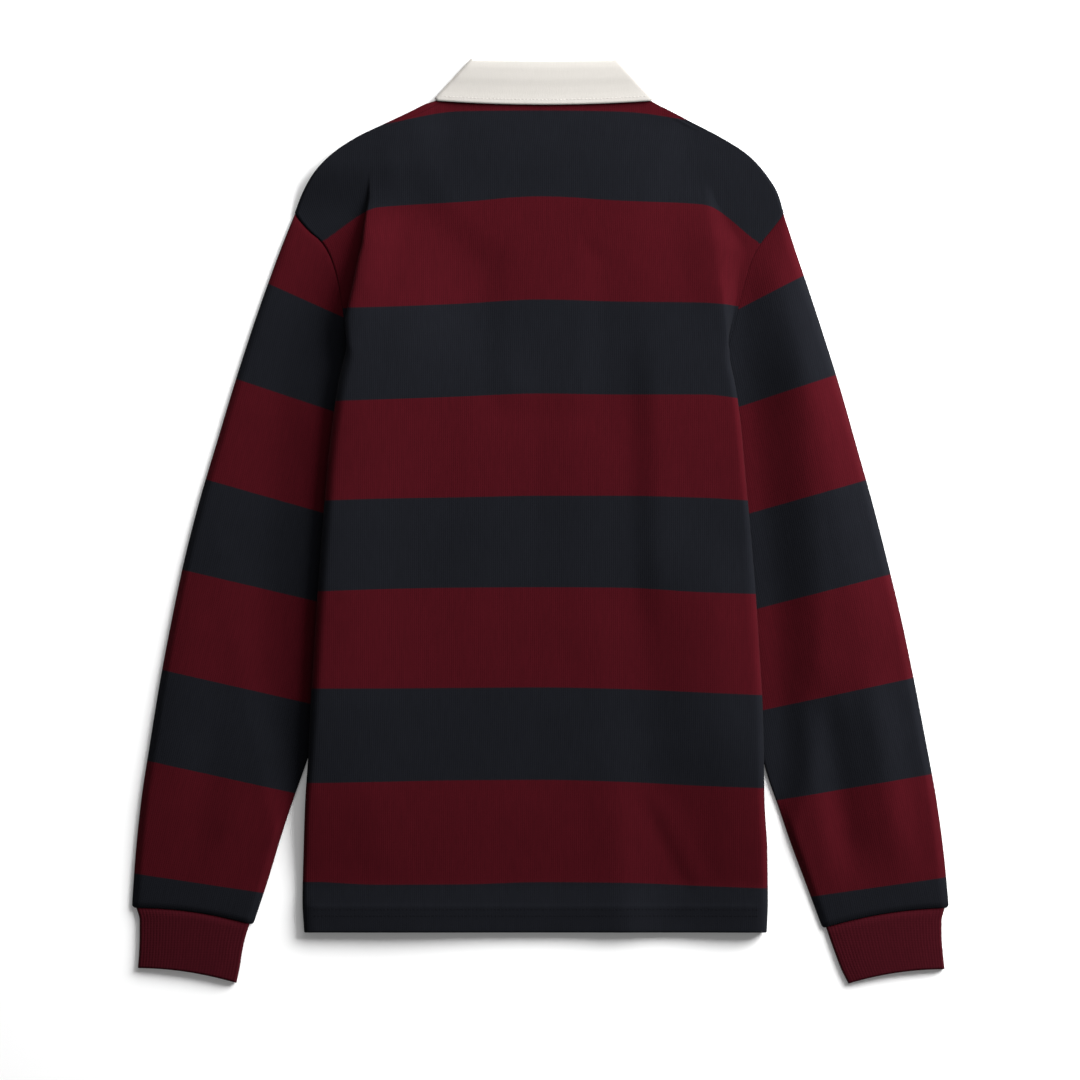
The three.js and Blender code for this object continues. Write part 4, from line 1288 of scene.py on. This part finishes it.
# %% Make the collar
FALL_STEPS = 22
ROLL_OVER_STEPS = 8
STAND_STEPS = 10
ROLL_ROOM = 1.75  # what the roll adds above the fold line
SIDE_LENGTH = 48.0  # of the collar's side, from the roll to the edge
FALL_RELIEF = dict(
    share=[0, 0.12, 0.4, 0.56, 0.75, 0.93, 1],
    rise=[0, 0.7, 0.8, 0.35, 0.25, 0.6, 0.55],
)
BACK_COLUMNS = 40
SIDE_COLUMNS = 12
LEAF_COLUMNS = 26


def half_ring(front, share, radius, roll_y, lower_y, edge_share, drop):
    """Points of half a collar ring at a share of the way from its roll to its edge."""
    centre_z = RING_RADIUS + TWILL / 2
    knots = np.arange(len(front["roll_x"]))
    along = np.linspace(0, knots[-1], LEAF_COLUMNS)

    def place(c):
        roll = through(knots, front["roll_" + c], along)
        return mix(roll, through(knots, front["edge_" + c], along), share)

    x, y = place("x"), place("y")
    leaf = np.stack([x, y, 0 * x + centre_z - radius], axis=1)
    corner = ring_corner(mix(drop, edge_share, share))
    angle = np.linspace(-math.pi / 2, math.pi / 2, SIDE_COLUMNS)[:, None]
    reach = corner + OUTWARD * radius * np.cos(angle)
    turn = np.concatenate([reach, centre_z + radius * np.sin(angle)], axis=1)
    t = np.linspace(1, 0, BACK_COLUMNS)[1:]
    middle = mix(roll_y, lower_y, share)
    over = np.stack(
        [corner[0] * t, mix(middle, corner[1], t**2), 0 * t + centre_z + radius], axis=1
    )
    return np.concatenate([leaf, turn, over])


def whole_ring(half):
    mirrored = half[:-1][::-1] * [-1, 1, 1]
    return np.concatenate([half, mirrored]) + [COLLAR_X, 0, 0]


def collar_points():
    drop = ROLL_ROOM / SIDE_LENGTH
    fall, stand = [], []
    for share in np.linspace(1, 0, FALL_STEPS):
        ring = half_ring(
            FALL, share, RING_RADIUS, BACK_ROLL_Y - ROLL_ROOM, BACK_EDGE_Y, 1, drop
        )
        rise = np.interp(share, FALL_RELIEF["share"], FALL_RELIEF["rise"])
        on_top = smooth((ring[:, 2] - RING_RADIUS) / RING_RADIUS)
        ring[:, 2] += rise * on_top
        fall.append(whole_ring(ring))
    for share in np.linspace(0, 1, STAND_STEPS):
        ring = half_ring(
            STAND, share, PITCH / 2, BACK_ROLL_Y - ROLL_ROOM, BACK_SEAM_Y, SIDE_SEAM, drop
        )
        stand.append(whole_ring(ring))
    first, last = fall[-1], stand[0]
    centre, arm = (first + last) / 2, (first - last) / 2
    up = first - fall[-2]
    up[:, 2] = 0
    up = up / np.linalg.norm(up, axis=1, keepdims=True)
    arm_length = np.linalg.norm(arm, axis=1, keepdims=True)
    angles = np.linspace(0, math.pi, ROLL_OVER_STEPS + 1)[1:-1]
    roll = [centre + arm * math.cos(a) + up * arm_length * math.sin(a) for a in angles]
    return np.array(fall + roll + stand)


def make_collar():
    points = collar_points()
    across = path_length(points)
    steps = np.linalg.norm(np.diff(points, axis=0), axis=2)
    along = np.concatenate([np.zeros((1, steps.shape[1])), np.cumsum(steps, axis=0)])
    mesh = bent_grid("collar", points, np.stack([across, along], axis=2))
    nodes = ["collar_fall", "collar_stand"]
    return finish_piece("collar", mesh, "collar_twill", nodes, TWILL - 0.2)


collar = make_collar()

# %% [markdown]
# ## Placket
#
# The front opening has a placket with its buttons hidden inside. It lies under the shirt, so it is
# a plain folded strip of twill with a softly rounded edge.

# %% Make the placket


def make_placket():
    width, top, bottom = PLACKET["width"], PLACKET["top"], PLACKET["bottom"]
    middle = (COLLAR_X, (top + bottom) / 2, TWILL / 2)
    mesh = bpy.data.meshes.new("placket")
    bm = bmesh.new()
    size = Matrix.Diagonal((width * MM, (top - bottom) * MM, TWILL * MM, 1))
    place = Matrix.Translation(Vector(middle) * MM)
    bmesh.ops.create_cube(bm, size=1, matrix=place @ size)
    bmesh.ops.bevel(
        bm, geom=bm.edges, offset=0.5 * MM, segments=3, profile=0.5, affect="EDGES", material=-1
    )
    weave = bm.loops.layers.uv.new("weave")
    for face in bm.faces:
        for loop in face.loops:
            loop[weave].uv = loop.vert.co.xy
    bm.to_mesh(mesh)
    bm.free()
    return finish_piece("button_placket", mesh, "collar_twill", ["placket"])


placket = make_placket()

# %% [markdown]
# ## Stitches
#
# The hem is held by two rows of stitches, and the collar has one row along its edge. Each stitch is
# a small rounded bar of thread that stands out of the cloth. They could be bump, but then they would
# vanish at the edges, so all the bars of one row are one joined mesh.

# %% Sew the hem and the collar
STITCH = dict(pitch=3.2, length=2.3, radius=0.28)
HEM_STITCHES = (20.0, 14.5)  # distance of each row from the hem's edge
HEM_MARGIN = 9.0
COLLAR_STITCH_ROW = 2.5  # rows of the collar's grid in from its edge


def sew(name, lines, thread_name):
    """Stitches along lines of points, in millimetres, as one joined mesh."""
    mesh = bpy.data.meshes.new(name)
    bm = bmesh.new()
    for line in lines:
        length = np.linalg.norm(np.diff(line, axis=0), axis=1).sum()
        spots = np.arange(0.5, length / STITCH["pitch"]) * STITCH["pitch"] / length
        half = STITCH["length"] / length / 2
        for share in spots:
            start, end = along_line(line, np.clip([share - half, share + half], 0, 1))
            way = Vector(end - start).to_track_quat("X", "Z").to_matrix().to_4x4()
            size = Matrix.Diagonal((STITCH["length"] / 2, STITCH["radius"], STITCH["radius"], 1))
            place = Matrix.Translation(Vector((start + end) / 2))
            scale = Matrix.Scale(MM, 4)
            bmesh.ops.create_uvsphere(
                bm, u_segments=6, v_segments=4, radius=1, matrix=scale @ place @ way @ size
            )
    bm.to_mesh(mesh)
    bm.free()
    mesh.materials.append(THREAD_MATERIALS[thread_name])
    mesh.shade_smooth()
    piece = bpy.data.objects.new(name, mesh)
    bpy.context.scene.collection.objects.link(piece)
    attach(piece, "root")
    print(f"{name}: {len(mesh.polygons)} faces")
    return piece


def hem_line(from_hem):
    y = HEM + from_hem
    left, right = body_line("left_fold", y), body_line("right_fold", y)
    x = np.linspace(left + HEM_MARGIN, right - HEM_MARGIN, 120)
    top = back_main(x, y + 0 * x, left, right) + JERSEY / 2 + (JERSEY - 0.1)
    return np.stack([x, y + 0 * x, top], axis=1)


def collar_line():
    points = collar_points()
    before = int(COLLAR_STITCH_ROW)
    line = mix(points[before], points[before + 1], COLLAR_STITCH_ROW - before)
    line = line[line[:, 2] > RING_RADIUS + TWILL] + [0, 0, (TWILL - 0.2) / 2]
    return line


hem_stitches = sew("hem_stitches", [hem_line(d) for d in HEM_STITCHES], "dark")
collar_stitches = sew("collar_stitches", [collar_line()], "light")

# %% [markdown]
# ## The cut pieces
#
# A sleeve or cuff is one flat piece whose long edges are sewn together.

print("sheets declared:", 4 + 2 * len(SLEEVES))

# %% [markdown]
# ## The size of the dressed shirt
#
# Both boxes, the frame's and the dressed shirt's, are measured, kept and printed. The dressed shirt
# has to keep to the size of the frame, apart from its folds.

# %% Measure and finish
sizes = {"cad": cad_box, "visual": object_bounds()}
for name, corners in sizes.items():
    print(name, [[round(float(c), 4) for c in corner] for corner in corners])
